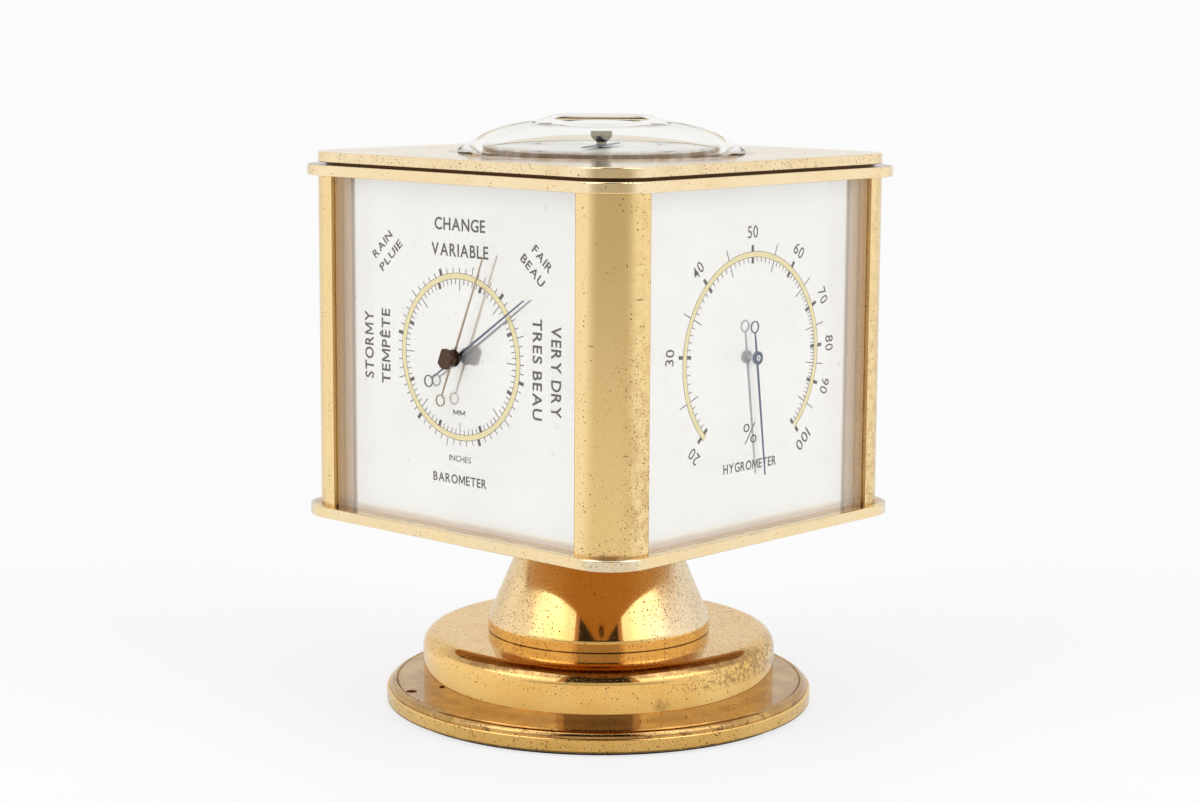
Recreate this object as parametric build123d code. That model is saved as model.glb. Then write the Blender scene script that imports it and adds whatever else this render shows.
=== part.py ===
from build123d import *
from math import atan2, cos, pi, radians, sin, tan
import os

# Desk weather station: a square glazed head that turns on a stepped round base.
# Millimetres, +Z up, origin at the middle of the foot's underside.
# Faces: barometer to -Y, hygrometer to +X, thermometer to +Y, clock to -X.

# Shared values
cut_overrun = 1.0           # how far a cut runs past the surface that it opens
fit_gap = 0.05              # radial room of a pin, shank or arbor in its hole
slip_gap = 0.15             # room round a plate that slides into a groove
swivel_gap = 0.2            # between the base and the pedestal that turns on it

# Base
pad_thickness = 0.8
pad_inset = 1.8
pad_hole_radius = 6.2
flange_radius = 46.7
flange_thickness = 4.3
rim_height = 2.95
rim_ledge = 0.7
bead_groove_width = 0.45
bead_groove_depth = 0.35
flange_hole_radius = 1.15
flange_hole_inset = 3.7
flange_hole_angle = -117.0
disc_radius = 38.7
disc_height = 11.0
disc_shoulder = 3.6
disc_wall = 1.2
weight_gap = 0.3
base_screw_circle = 24.0
base_screw_count = 3
base_screw_radius = 1.6
base_screw_length = 9.0

# Swivel
bolt_radius = 3.0
bolt_head_radius = 5.4
bolt_head_height = 2.0
bolt_recess_radius = 6.1
bolt_recess_depth = 2.3
spring_washer_radius = 6.0
spring_washer_thickness = 0.5
nut_across_flats = 10.0
nut_height = 5.0
bolt_end = 1.2

# Pedestal
cone_foot_radius = 24.4
cone_top_radius = 14.4
cone_height = 25.75
cone_knee_height = 2.3
cone_knee_round = 6.5
cone_wall = 1.4
cone_floor = 1.8
cone_lip = 1.8
cone_mouth_radius = 8.0
cone_screw_circle = 11.2
cone_screw_count = 3
cone_screw_radius = 1.1
cone_screw_length = 3.6

# Head plates and posts
plate_half = 47.5
plate_corner = 10.0
bottom_plate_thickness = 2.35
top_plate_thickness = 2.3
plate_overhang = 1.7
post_width = 10.4
post_round = 9.9
post_height = 71.3
post_screw_radius = 1.5
post_screw_length = 10.0
lid_inset = 1.4
lid_corner = 10.8
lid_thickness = 2.2
lid_step_height = 0.5
lid_step_inset = 1.6

# Glass and dials
pane_setback = 0.55
pane_thickness = 0.9
dial_recess = 3.74
dial_thickness = 1.0
groove_depth = 1.0

# Screw heads
screw_head_height_share = 0.8
screw_head_radius_share = 1.75
screw_slot_width_share = 0.35
screw_slot_depth_share = 0.45

# Compass under its crystal
crystal_radius = 30.9
crystal_seat_depth = 0.3
crystal_rim_height = 0.45
crystal_shoulder_radius = 15.8
crystal_shoulder_height = 6.3
crystal_crown_radius = 10.5
crystal_height = 7.8
crystal_bulge = 1.15
crystal_bore_radius = 25.9
crystal_bore_shoulder = 13.4
crystal_wall = 1.6
card_radius = 25.6
card_thickness = 0.5
pivot_foot_radius = 1.5
pivot_foot_height = 0.2
pivot_radius = 0.4
pivot_height = 2.7
pivot_depth = 1.6
needle_length = 21.0
needle_width = 3.4
needle_thickness = 0.2
needle_lift = 0.45
cap_radius = 2.35
cap_height = 2.5
cap_neck_radius = 1.1
cap_neck_height = 0.65
cap_bore_radius = 0.62
cap_base_round = 1.3
needle_angle = -71.0

# Hands
hand_thickness = 0.2
hand_root_width = 0.55
hand_tip_width = 0.26
hand_ring_radius = 1.3
hand_ring_wire = 0.26
hand_hub_radius = 1.35
arbor_radius = 0.45
arbor_shoulder_radius = 0.9
arbor_shoulder_height = 0.4
arbor_cap_height = 0.35
coil_cap_radius = 1.4
barometer_hand_length = 23.4
barometer_tail_length = 9.9
barometer_hand_angle = 55.6
barometer_hand_lift = 1.0
setting_hand_length = 23.0
setting_tail_length = 9.9
setting_hand_angle = 22.4
setting_hand_lift = 1.89
hygrometer_hand_length = 25.0
hygrometer_tail_length = 6.5
hygrometer_hand_angle = 172.6
hygrometer_hand_lift = 1.2
thermometer_hand_length = 23.4
thermometer_tail_length = 7.6
thermometer_hand_angle = 19.3
thermometer_hand_lift = 1.2
minute_hand_length = 22.0
hour_hand_length = 14.5
clock_tail_length = 5.0
clock_hand_width = 1.5
clock_hub_radius = 2.3
cannon_shoulder_radius = 1.4
minute_hand_angle = 60.0
hour_hand_angle = 305.0
hour_hand_lift = 0.4
minute_hand_lift = 1.2

# Setting knob of the barometer
knob_spindle_radius = 0.8
knob_collet_radius = 1.8
knob_collet_height = 0.2
knob_neck_radius = 1.7
knob_neck_height = 0.95
knob_bar_width = 3.1
knob_bar_radius = 2.15
knob_bar_height = 0.6
knob_glass_gap = 0.1

# Gear teeth, as shares of the module or of one tooth's step
addendum_share = 0.85
dedendum_share = 1.15
tip_half_share = 0.12
root_half_share = 0.28

# Barometer movement
baro_plate_radius = 20.0
baro_plate_thickness = 1.2
baro_depth = 20.0
pillar_radius = 1.6
pillar_circle = 17.6
pillar_count = 3
pillar_start_angle = 90.0
capsule_radius = 12.5
capsule_height = 4.4
capsule_ripple_count = 3
capsule_ripple_depth = 0.7
capsule_foot_radius = 2.4
capsule_foot_height = 1.2
capsule_stud_radius = 1.0
capsule_stud_height = 1.6
leaf_width = 8.0
leaf_thickness = 0.9
leaf_bend = 2.2
leaf_reach = 17.5
leaf_foot_length = 4.5
leaf_overhang = 5.0
bridge_thickness = 1.0
bridge_drop = 8.0
bridge_post_radius = 1.4
bridge_post_reach = 13.5
bridge_post_side = 5.0
bridge_margin = 1.8
pinion_pitch_radius = 1.4
gear_thickness = 0.9
pinion_tooth_count = 8
sector_tooth_count = 60
sector_cut_count = 13
sector_shift_count = 1
sector_gap = 0.4
sector_arm_width = 2.2
sector_hub_radius = 1.7
sector_tail_length = 5.0

# Humidity and temperature coils
coil_depth = 7.0
coil_frame_thickness = 0.8
coil_frame_margin = 1.6
coil_side_gap = 1.3
coil_inner_radius = 0.9
coil_outer_radius = 8.6
coil_strip_thickness = 0.35
coil_strip_width = 3.4
coil_turn_point_count = 20
coil_post_radius = 0.9
coil_post_gap = 0.1
coil_post_count = 3
humidity_turn_count = 4
bimetal_turn_count = 5

# Clock
case_radius = 23.5
case_wall = 0.8
case_depth = 14.0
case_rim_width = 3.0
case_rim_thickness = 1.0
movement_thickness = 7.8
cannon_pitch_radius = 1.5
minute_wheel_angle = 90.0
cannon_tooth_count = 10
minute_wheel_tooth_count = 30
minute_pinion_tooth_count = 8
hour_wheel_tooth_count = 32
motion_gap = 0.35
motion_wheel_thickness = 0.9
motion_pinion_thickness = 1.4
cannon_arbor_depth = 3.0
cannon_pipe_radius = 0.9
hour_pipe_radius = 1.5
minute_post_radius = 0.6
stem_radius = 1.0
stem_bearing_depth = 4.0
sleeve_radius = 1.9
sleeve_flange_radius = 2.9
sleeve_flange_height = 0.8
sleeve_drop = 0.4
crown_travel = 1.5
crown_radius = 4.2
crown_height = 3.6
crown_flute_count = 18
crown_flute_radius = 0.5
crown_edge = 0.4

# Heights that follow from the stack
flange_bottom = pad_thickness
flange_top = flange_bottom + flange_thickness
disc_top = flange_top + disc_height
cone_bottom = disc_top + swivel_gap
bottom_plate_bottom = cone_bottom + cone_height
post_bottom = bottom_plate_bottom + bottom_plate_thickness
post_top = post_bottom + post_height
top_plate_top = post_top + top_plate_thickness
lid_bottom = top_plate_top + lid_step_height
lid_top = lid_bottom + lid_thickness
crystal_seat = lid_top - crystal_seat_depth
card_top = crystal_seat + card_thickness

# Places that follow from the head
post_flat = plate_half - plate_overhang
lid_half = plate_half - lid_inset
post_inner = post_flat - post_width
post_centre = post_flat - post_width / 2
dial_centre = (post_bottom + post_top) / 2
dial_front = post_flat - dial_recess
dial_back = dial_front - dial_thickness
pane_outer = post_flat - pane_setback
insert_half = post_inner + groove_depth - slip_gap

# Places inside the movements
baro_back = dial_back - baro_depth
bridge_back = dial_back - bridge_drop
sector_back = bridge_back + bridge_thickness + sector_gap
gear_module = 2 * pinion_pitch_radius / pinion_tooth_count
sector_distance = gear_module * (pinion_tooth_count + sector_tooth_count) / 2
coil_post_circle = coil_outer_radius + coil_strip_thickness / 2 + coil_post_gap + coil_post_radius
movement_front = dial_back - case_depth + case_wall + movement_thickness
stem_place = movement_front - movement_thickness / 2
clock_module = 2 * cannon_pitch_radius / cannon_tooth_count
motion_distance = clock_module * (cannon_tooth_count + minute_wheel_tooth_count) / 2
cannon_back = movement_front + motion_gap
minute_wheel_back = cannon_back + motion_gap / 2
hour_wheel_back = cannon_back + motion_pinion_thickness + motion_gap
minute_pinion_height = hour_wheel_back + motion_wheel_thickness - minute_wheel_back - motion_wheel_thickness
sleeve_bottom = bottom_plate_bottom - sleeve_drop
sleeve_flange_bottom = post_bottom + crown_travel + slip_gap
sleeve_top = sleeve_flange_bottom + sleeve_flange_height
crown_top = sleeve_bottom - fit_gap

barometer_turn = 0
hygrometer_turn = 90
thermometer_turn = 180
clock_turn = 270

parts = {}


def keep(name, shape, color):
    """Store a sub-part under its node name."""
    shape.label = name
    shape.color = Color(*color)
    parts[name] = shape


brass = (0.85, 0.68, 0.32)
steel = (0.6, 0.62, 0.65)
silvered = (0.9, 0.9, 0.88)
glass = (0.8, 0.9, 0.95, 0.35)
felt = (0.12, 0.12, 0.12)
blued = (0.2, 0.24, 0.35)


# Basic forms

def outline(*edges):
    """Face inside a closed chain of edges."""
    return make_face(list(edges))


def chain(points):
    """Face inside a closed run of straight lines."""
    return make_face(Polyline(*points, close=True))


def turned(face):
    """Solid turned about Z from a face drawn as (radius, height)."""
    return Rot(X=90) * revolve(face, Axis.Y)


def rod(radius, bottom, top):
    """Round bar on the Z axis between two heights."""
    return Pos(Z=bottom) * extrude(Circle(radius), top - bottom)


def tube(radius, bore, bottom, top):
    """Round tube on the Z axis between two heights."""
    return Pos(Z=bottom) * extrude(Circle(radius) - Circle(bore), top - bottom)


def around(shape, count, radius, start=0):
    """Copies of a shape set evenly round the Z axis."""
    return [Rot(Z=start + 360 * i / count) * Pos(X=radius) * shape for i in range(count)]


def at_posts(shape):
    """Copies of a shape on the axes of the four posts."""
    return [Rot(Z=90 * i) * Pos(post_centre, post_centre) * shape for i in range(4)]


def on_face(shape, turn):
    """Carry a shape drawn facing its viewer (x right, y up, z outwards) to one face of the head."""
    return Rot(Z=turn) * Pos(Z=dial_centre) * Rot(X=90) * shape


def group(solids):
    """Separate solids kept together as one sub-part."""
    return Compound(children=[s.solid() for s in solids])


def slotted_screw(radius, length, countersunk=False):
    """Screw along -Z whose head rises from z = 0, or is sunk below it."""
    head_radius = radius * screw_head_radius_share
    head_height = radius * screw_head_height_share
    top = 0 if countersunk else head_height
    seat = -head_height if countersunk else 0
    if countersunk:
        head = turned(chain([(0, seat), (radius, seat), (head_radius, top), (0, top)]))
    else:
        head = rod(head_radius, seat, top)
    body = head + rod(radius, -length, seat)
    slot_width = radius * screw_slot_width_share
    slot_depth = radius * screw_slot_depth_share
    slot = Box(4 * head_radius, slot_width, 2 * slot_depth)
    return body - Pos(Z=top) * slot


def screw_hole(radius, length, countersunk=False):
    """Tool that clears a slotted screw."""
    room = radius + fit_gap
    tool = rod(room, -length - cut_overrun, cut_overrun)
    if countersunk:
        head_radius = radius * screw_head_radius_share + fit_gap
        head_height = radius * screw_head_height_share + fit_gap
        tool += turned(chain([(0, -head_height), (room, -head_height), (head_radius, 0),
                              (head_radius, cut_overrun), (0, cut_overrun)]))
    return tool


# Base

def foot_pad():
    return tube(flange_radius - pad_inset, pad_hole_radius, 0, pad_thickness)


def base_flange():
    top = flange_top
    bead = flange_top - flange_bottom - rim_height
    ledge_top = flange_bottom + rim_height
    bead_outer = flange_radius - rim_ledge
    bead_inner = bead_outer - bead
    groove_inner = bead_inner - bead_groove_width
    face = outline(
        Line((0, flange_bottom), (flange_radius, flange_bottom)),
        Line((flange_radius, flange_bottom), (flange_radius, ledge_top)),
        Line((flange_radius, ledge_top), (bead_outer, ledge_top)),
        RadiusArc((bead_outer, ledge_top), (bead_inner, top), -bead),
        Line((bead_inner, top), ((bead_inner + groove_inner) / 2, top - bead_groove_depth)),
        Line(((bead_inner + groove_inner) / 2, top - bead_groove_depth), (groove_inner, top)),
        Line((groove_inner, top), (0, top)),
        Line((0, top), (0, flange_bottom)))
    flange = turned(face)
    flange -= rod(bolt_radius + fit_gap, flange_bottom - cut_overrun, top + cut_overrun)
    flange -= rod(bolt_recess_radius, flange_bottom - cut_overrun, flange_bottom + bolt_recess_depth)
    hole = rod(flange_hole_radius, flange_bottom - cut_overrun, top + cut_overrun)
    flange -= Rot(Z=flange_hole_angle) * Pos(X=flange_radius - flange_hole_inset) * hole
    drill = Pos(Z=flange_bottom) * Rot(X=180) * screw_hole(base_screw_radius, base_screw_length, True)
    return flange - around(drill, base_screw_count, base_screw_circle)


def base_screws():
    screw = Pos(Z=flange_bottom) * Rot(X=180) * slotted_screw(base_screw_radius, base_screw_length, True)
    return group(around(screw, base_screw_count, base_screw_circle))


def step_disc():
    """Spun cup, closed on top, that covers the weight."""
    inner = disc_radius - disc_wall
    inner_round = disc_shoulder - disc_wall
    ceiling = disc_top - disc_wall
    axle = bolt_radius + fit_gap
    face = outline(
        Line((inner, flange_top), (disc_radius, flange_top)),
        Line((disc_radius, flange_top), (disc_radius, disc_top - disc_shoulder)),
        RadiusArc((disc_radius, disc_top - disc_shoulder), (disc_radius - disc_shoulder, disc_top),
                  -disc_shoulder),
        Line((disc_radius - disc_shoulder, disc_top), (axle, disc_top)),
        Line((axle, disc_top), (axle, ceiling)),
        Line((axle, ceiling), (inner - inner_round, ceiling)),
        RadiusArc((inner - inner_round, ceiling), (inner, ceiling - inner_round), inner_round),
        Line((inner, ceiling - inner_round), (inner, flange_top)))
    return turned(face)


def base_weight():
    """Cast ring that keeps the tall head from tipping."""
    outer = disc_radius - disc_wall - weight_gap
    top = disc_top - disc_wall
    slope = disc_shoulder - disc_wall
    axle = bolt_radius + fit_gap
    ring = turned(chain([(axle, flange_top), (outer, flange_top), (outer, top - slope),
                         (outer - slope, top), (axle, top)]))
    drill = Pos(Z=flange_bottom) * Rot(X=180) * screw_hole(base_screw_radius, base_screw_length)
    return ring - around(drill, base_screw_count, base_screw_circle)


# Swivel

def pivot_bolt():
    head_top = flange_bottom + bolt_recess_depth
    end = cone_bottom + cone_floor + fit_gap + spring_washer_thickness + nut_height + bolt_end
    bolt = rod(bolt_head_radius, head_top - bolt_head_height, head_top) + rod(bolt_radius, head_top, end)
    slot_depth = bolt_head_height * screw_slot_depth_share
    slot = Box(4 * bolt_head_radius, bolt_head_height * screw_slot_width_share, 2 * slot_depth)
    return bolt - Pos(Z=head_top - bolt_head_height) * slot


def spring_washer():
    bottom = cone_bottom + cone_floor + fit_gap
    return tube(spring_washer_radius, bolt_radius + fit_gap, bottom, bottom + spring_washer_thickness)


def pivot_nut():
    bottom = cone_bottom + cone_floor + fit_gap + spring_washer_thickness
    corner_radius = nut_across_flats / 2 / cos(radians(30))
    nut = extrude(RegularPolygon(corner_radius, 6) - Circle(bolt_radius + fit_gap), nut_height)
    return Pos(Z=bottom) * nut


# Pedestal

def pedestal_cone():
    """Spun cone with a floor for the swivel and a lip for the bottom plate."""
    knee = cone_bottom + cone_knee_height
    lean = atan2(cone_foot_radius - cone_top_radius, bottom_plate_bottom - knee)
    tangent = cone_knee_round * tan(lean / 2)
    arc_end = (cone_foot_radius - tangent * sin(lean), knee + tangent * cos(lean))
    skin = cone_wall / cos(lean)
    lip_bottom = bottom_plate_bottom - cone_lip
    floor_top = cone_bottom + cone_floor
    inner_foot = cone_foot_radius - skin
    inner_top = cone_top_radius + cone_lip * tan(lean) - skin
    body = turned(outline(
        Line((0, cone_bottom), (cone_foot_radius, cone_bottom)),
        Line((cone_foot_radius, cone_bottom), (cone_foot_radius, knee - tangent)),
        RadiusArc((cone_foot_radius, knee - tangent), arc_end, -cone_knee_round),
        Line(arc_end, (cone_top_radius, bottom_plate_bottom)),
        Line((cone_top_radius, bottom_plate_bottom), (0, bottom_plate_bottom)),
        Line((0, bottom_plate_bottom), (0, cone_bottom))))
    hollow = turned(chain([(0, floor_top), (inner_foot, floor_top), (inner_foot, knee),
                           (inner_top, lip_bottom), (0, lip_bottom)]))
    body -= hollow
    body -= rod(bolt_radius + fit_gap, cone_bottom - cut_overrun, floor_top + cut_overrun)
    body -= rod(cone_mouth_radius, lip_bottom - cut_overrun, bottom_plate_bottom + cut_overrun)
    drill = Pos(Z=post_bottom) * screw_hole(cone_screw_radius, cone_screw_length)
    return body - around(drill, cone_screw_count, cone_screw_circle)


def cone_screws():
    screw = Pos(Z=post_bottom) * slotted_screw(cone_screw_radius, cone_screw_length)
    return group(around(screw, cone_screw_count, cone_screw_circle))


# Head plates and posts

def rounded_plate(half, corner, bottom, top):
    return Pos(Z=bottom) * extrude(RectangleRounded(2 * half, 2 * half, corner), top - bottom)


def bottom_plate():
    plate = rounded_plate(plate_half, plate_corner, bottom_plate_bottom, post_bottom)
    plate -= at_posts(Pos(Z=bottom_plate_bottom) * Rot(X=180)
                      * screw_hole(post_screw_radius, post_screw_length, True))
    drill = Pos(Z=post_bottom) * screw_hole(cone_screw_radius, cone_screw_length)
    plate -= around(drill, cone_screw_count, cone_screw_circle)
    stem_hole = rod(sleeve_radius + fit_gap, bottom_plate_bottom - cut_overrun, post_bottom + cut_overrun)
    return plate - Pos(X=-stem_place) * stem_hole


def top_plate():
    plate = rounded_plate(plate_half, plate_corner, post_top, top_plate_top)
    return plate - at_posts(Pos(Z=top_plate_top) * screw_hole(post_screw_radius, post_screw_length, True))


def bottom_post_screws():
    screw = slotted_screw(post_screw_radius, post_screw_length, True)
    return group(at_posts(Pos(Z=bottom_plate_bottom) * Rot(X=180) * screw))


def top_post_screws():
    return group(at_posts(Pos(Z=top_plate_top) * slotted_screw(post_screw_radius, post_screw_length, True)))


def post_grooves(front, thickness):
    """Sections of one groove on each inner side of a post."""
    width = groove_depth + cut_overrun
    height = thickness + fit_gap
    across = post_inner + groove_depth - width / 2
    along = front - thickness / 2
    return Pos(across, along) * Rectangle(width, height) + Pos(along, across) * Rectangle(height, width)


def corner_post(turn):
    """Drawn section with a rounded outer corner and two grooves on each inner side."""
    section = Pos(post_centre, post_centre) * Rectangle(post_width, post_width)
    section = fillet(section.vertices().sort_by_distance((post_flat, post_flat, 0))[0], post_round)
    section -= post_grooves(pane_outer, pane_thickness)
    section -= post_grooves(dial_front, dial_thickness)
    post = Pos(Z=post_bottom) * extrude(section, post_height)
    axis = Pos(post_centre, post_centre)
    tap = screw_hole(post_screw_radius, post_screw_length)
    post -= axis * Pos(Z=bottom_plate_bottom) * Rot(X=180) * tap
    post -= axis * Pos(Z=top_plate_top) * tap
    return Rot(Z=turn) * post


def lid():
    """Cover plate with a step that locates it and a shallow recess for the compass."""
    cover = rounded_plate(lid_half, lid_corner, lid_bottom, lid_top)
    step_half = lid_half - lid_step_inset
    cover += rounded_plate(step_half, lid_corner - lid_step_inset, top_plate_top, lid_bottom)
    cover -= rod(crystal_radius + fit_gap, crystal_seat, lid_top + cut_overrun)
    return cover - rod(pivot_radius + fit_gap, crystal_seat - pivot_depth, crystal_seat + cut_overrun)


# Glass and dials

def insert(outer, thickness, hole_radius):
    """Flat square that slides into the post grooves, with a hole at its centre."""
    height = post_height - slip_gap
    slab = Pos(0, -slip_gap / 2, outer - thickness) * extrude(Rectangle(2 * insert_half, height), thickness)
    if hole_radius:
        slab -= rod(hole_radius, outer - thickness - cut_overrun, outer + cut_overrun)
    return slab


def pane(turn, hole_radius=0):
    return on_face(insert(pane_outer, pane_thickness, hole_radius), turn)


def dial(turn, hole_radius):
    return on_face(insert(dial_front, dial_thickness, hole_radius), turn)


# Compass

def compass_card():
    return tube(card_radius, pivot_radius + fit_gap, crystal_seat, card_top)


def compass_pivot():
    """Pin pressed into the lid, with a foot on the card and a sharp point."""
    tip = card_top + pivot_height
    cone = 2 * pivot_radius
    root = crystal_seat - pivot_depth
    pin = turned(chain([(0, root), (pivot_radius, root), (pivot_radius, tip - cone), (0, tip)]))
    foot = turned(chain([(0, card_top), (pivot_foot_radius, card_top),
                         (pivot_radius, card_top + pivot_foot_height), (0, card_top + pivot_foot_height)]))
    return pin + foot


def compass_needle():
    """Long rhombic needle with an eye round the cap's neck."""
    half = needle_length / 2
    side = needle_width / 2
    bottom = card_top + needle_lift
    blade = extrude(chain([(half, 0), (0, side), (-half, 0), (0, -side)]), needle_thickness)
    eye = rod(needle_width / 2, 0, needle_thickness)
    needle = blade + eye - rod(cap_neck_radius, -cut_overrun, needle_thickness + cut_overrun)
    return Rot(Z=needle_angle) * Pos(Z=bottom) * needle


def needle_cap():
    """Turned cup over the pivot, narrow where the needle sits."""
    neck_bottom = card_top + needle_lift
    cup_bottom = neck_bottom + needle_thickness + cap_neck_height
    round_top = cup_bottom + cap_base_round
    top = cup_bottom + cap_height
    ceiling = card_top + pivot_height + fit_gap
    face = outline(
        Line((cap_bore_radius, neck_bottom), (cap_neck_radius, neck_bottom)),
        Line((cap_neck_radius, neck_bottom), (cap_neck_radius, cup_bottom)),
        RadiusArc((cap_neck_radius, cup_bottom), (cap_radius, round_top), -2 * cap_base_round),
        Line((cap_radius, round_top), (cap_radius, top)),
        Line((cap_radius, top), (0, top)),
        Line((0, top), (0, ceiling)),
        Line((0, ceiling), (cap_bore_radius, ceiling - cap_bore_radius)),
        Line((cap_bore_radius, ceiling - cap_bore_radius), (cap_bore_radius, neck_bottom)))
    return turned(face)


def dome_crystal():
    """Moulded crystal: a full shoulder, a bevel and a flat crown, hollow below."""
    rim = lid_top + crystal_rim_height
    shoulder = lid_top + crystal_shoulder_height
    top = lid_top + crystal_height
    bore_shoulder = shoulder - crystal_wall / 2
    ceiling = top - crystal_wall
    lip = crystal_seat + crystal_wall / 2
    face = outline(
        Line((crystal_bore_radius, crystal_seat), (crystal_radius, crystal_seat)),
        Line((crystal_radius, crystal_seat), (crystal_radius, rim)),
        SagittaArc((crystal_radius, rim), (crystal_shoulder_radius, shoulder), -crystal_bulge),
        Line((crystal_shoulder_radius, shoulder), (crystal_crown_radius, top)),
        Line((crystal_crown_radius, top), (0, top)),
        Line((0, top), (0, ceiling)),
        Line((0, ceiling), (crystal_crown_radius, ceiling)),
        Line((crystal_crown_radius, ceiling), (crystal_bore_shoulder, bore_shoulder)),
        SagittaArc((crystal_bore_shoulder, bore_shoulder), (crystal_bore_radius, lip), crystal_bulge),
        Line((crystal_bore_radius, lip), (crystal_bore_radius, crystal_seat)))
    return turned(face)


# Hands, drawn pointing up with the viewer at +z

def ring_pointer(length, tail, hole_radius):
    """Slender pointer with a wire ring on its tail."""
    root = hand_root_width / 2
    tip = hand_tip_width / 2
    arm_end = -tail + hand_ring_radius - hand_ring_wire / 2
    blade = chain([(-root, 0), (-tip, length), (tip, length), (root, 0), (tip, arm_end), (-tip, arm_end)])
    ring = Pos(Y=-tail) * (Circle(hand_ring_radius) - Circle(hand_ring_radius - hand_ring_wire))
    return extrude(blade + ring + Circle(hand_hub_radius) - Circle(hole_radius), hand_thickness)


def baton_hand(length, hub_radius, hole_radius):
    """Tapered clock hand with a short tail."""
    root = clock_hand_width / 2
    tip = hand_tip_width / 2
    blade = chain([(-root, 0), (-tip, length), (tip, length), (root, 0),
                   (tip, -clock_tail_length), (-tip, -clock_tail_length)])
    return extrude(blade + Circle(hub_radius) - Circle(hole_radius), hand_thickness)


def placed_hand(hand, angle, lift, turn):
    """Set a hand over its dial, turned clockwise from the top."""
    return on_face(Pos(Z=dial_front + lift) * Rot(Z=-angle) * hand, turn)


def arbor_bar(rear, lift, cap_radius):
    """Arbor with a shoulder under its hand and a cap over it."""
    seat = dial_front + lift
    top = seat + hand_thickness
    bar = rod(arbor_radius, rear, top)
    bar += rod(arbor_shoulder_radius, seat - arbor_shoulder_height, seat)
    return bar + rod(cap_radius, top, top + arbor_cap_height)


# Setting hand and knob of the barometer, carried by the pane

def setting_knob():
    """Double-flat knob outside the glass, with its spindle and the collet that holds the hand."""
    hand_seat = dial_front + setting_hand_lift
    neck_bottom = pane_outer + knob_glass_gap
    neck_top = neck_bottom + knob_neck_height
    body = rod(knob_collet_radius, hand_seat - knob_collet_height, hand_seat)
    body += rod(knob_spindle_radius, hand_seat, neck_bottom)
    body += rod(knob_neck_radius, neck_bottom, neck_top)
    bar = Circle(knob_bar_radius) & Rectangle(knob_bar_width, 4 * knob_bar_radius)
    body += Pos(Z=neck_top) * extrude(bar, knob_bar_height)
    return on_face(Rot(Z=-setting_hand_angle) * body, barometer_turn)


def setting_hand():
    hand = ring_pointer(setting_hand_length, setting_tail_length, knob_spindle_radius + fit_gap)
    return placed_hand(hand, setting_hand_angle, setting_hand_lift, barometer_turn)


# Gears

def gear_face(module, teeth, cut_count=0, start=0):
    """Toothed outline with a tooth at the start angle, or a wedge of cut_count about it."""
    pitch = module * teeth / 2
    tip = pitch + module * addendum_share
    root = pitch - module * dedendum_share
    step = 360 / teeth
    count = cut_count or teeth
    first = start - step * (count - 1) / 2 if cut_count else start
    corners = ((-root_half_share, root), (-tip_half_share, tip),
               (tip_half_share, tip), (root_half_share, root))
    points = []
    for i in range(count):
        for share, reach in corners:
            turn = radians(first + step * (i + share))
            points.append((reach * cos(turn), reach * sin(turn)))
    if cut_count:
        points.append((0, 0))
    return chain(points)


# Barometer movement, behind its dial

def barometer_frame():
    """Back plate that carries the capsule and its spring, with pillars riveted in up to the dial."""
    floor = baro_back + baro_plate_thickness
    frame = rod(baro_plate_radius, baro_back, floor)
    pillar = rod(pillar_radius, floor, dial_back)
    for placed in around(pillar, pillar_count, pillar_circle, pillar_start_angle):
        frame += placed
    return on_face(frame, barometer_turn)


def aneroid_capsule():
    """Evacuated capsule with concentric ripples, a foot and a stud."""
    bottom = baro_back + baro_plate_thickness
    low = bottom + capsule_foot_height
    high = low + capsule_height
    edge = capsule_height / 4
    top_side = [(capsule_radius, high - edge)]
    ripple_room = capsule_radius - capsule_foot_radius - edge
    for i in range(capsule_ripple_count, 0, -1):
        crest = capsule_foot_radius + ripple_room * i / capsule_ripple_count
        top_side.append((crest, high))
        top_side.append((crest - ripple_room / capsule_ripple_count / 2, high - capsule_ripple_depth))
    top_side.append((capsule_foot_radius, high))
    bottom_side = [(r, low + high - z) for r, z in reversed(top_side)]
    profile = [(0, bottom), (capsule_foot_radius, bottom)] + bottom_side + top_side
    stud_top = high + capsule_stud_height
    profile += [(capsule_stud_radius, high), (capsule_stud_radius, stud_top), (0, stud_top)]
    return on_face(turned(chain(profile)), barometer_turn)


def leaf_spring():
    """C-shaped leaf that pulls the capsule open from its stud."""
    low = baro_back + baro_plate_thickness
    high = low + capsule_foot_height + capsule_height + capsule_stud_height
    left = -leaf_reach
    inner = left + leaf_thickness
    foot_end = left + leaf_foot_length
    face = chain([(left, low), (foot_end, low), (foot_end, low + leaf_thickness),
                  (inner, low + leaf_thickness), (inner, high), (leaf_overhang, high),
                  (leaf_overhang, high + leaf_thickness), (left, high + leaf_thickness)])
    for x, y in ((left, low), (left, high + leaf_thickness)):
        face = fillet(face.vertices().sort_by_distance((x, y, 0))[0], leaf_bend)
    leaf = Pos(Y=leaf_width / 2) * Rot(X=90) * extrude(face, leaf_width)
    return on_face(leaf, barometer_turn)


def barometer_bridge():
    """Plate on four posts that bears the hand's arbor and the sector's pin."""
    length = 2 * (bridge_post_reach + bridge_margin)
    width = 2 * (bridge_post_side + bridge_margin)
    bore = Circle(arbor_radius + fit_gap)
    sheet = RectangleRounded(length, width, bridge_margin) - Pos(-sector_distance, 0) * bore - bore
    bridge = Pos(Z=bridge_back) * extrude(sheet, bridge_thickness)
    for x in (-bridge_post_reach, bridge_post_reach):
        for y in (-bridge_post_side, bridge_post_side):
            bridge += Pos(x, y) * rod(bridge_post_radius, bridge_back + bridge_thickness, dial_back)
    return on_face(Pos(sector_distance, 0) * bridge, barometer_turn)


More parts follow.
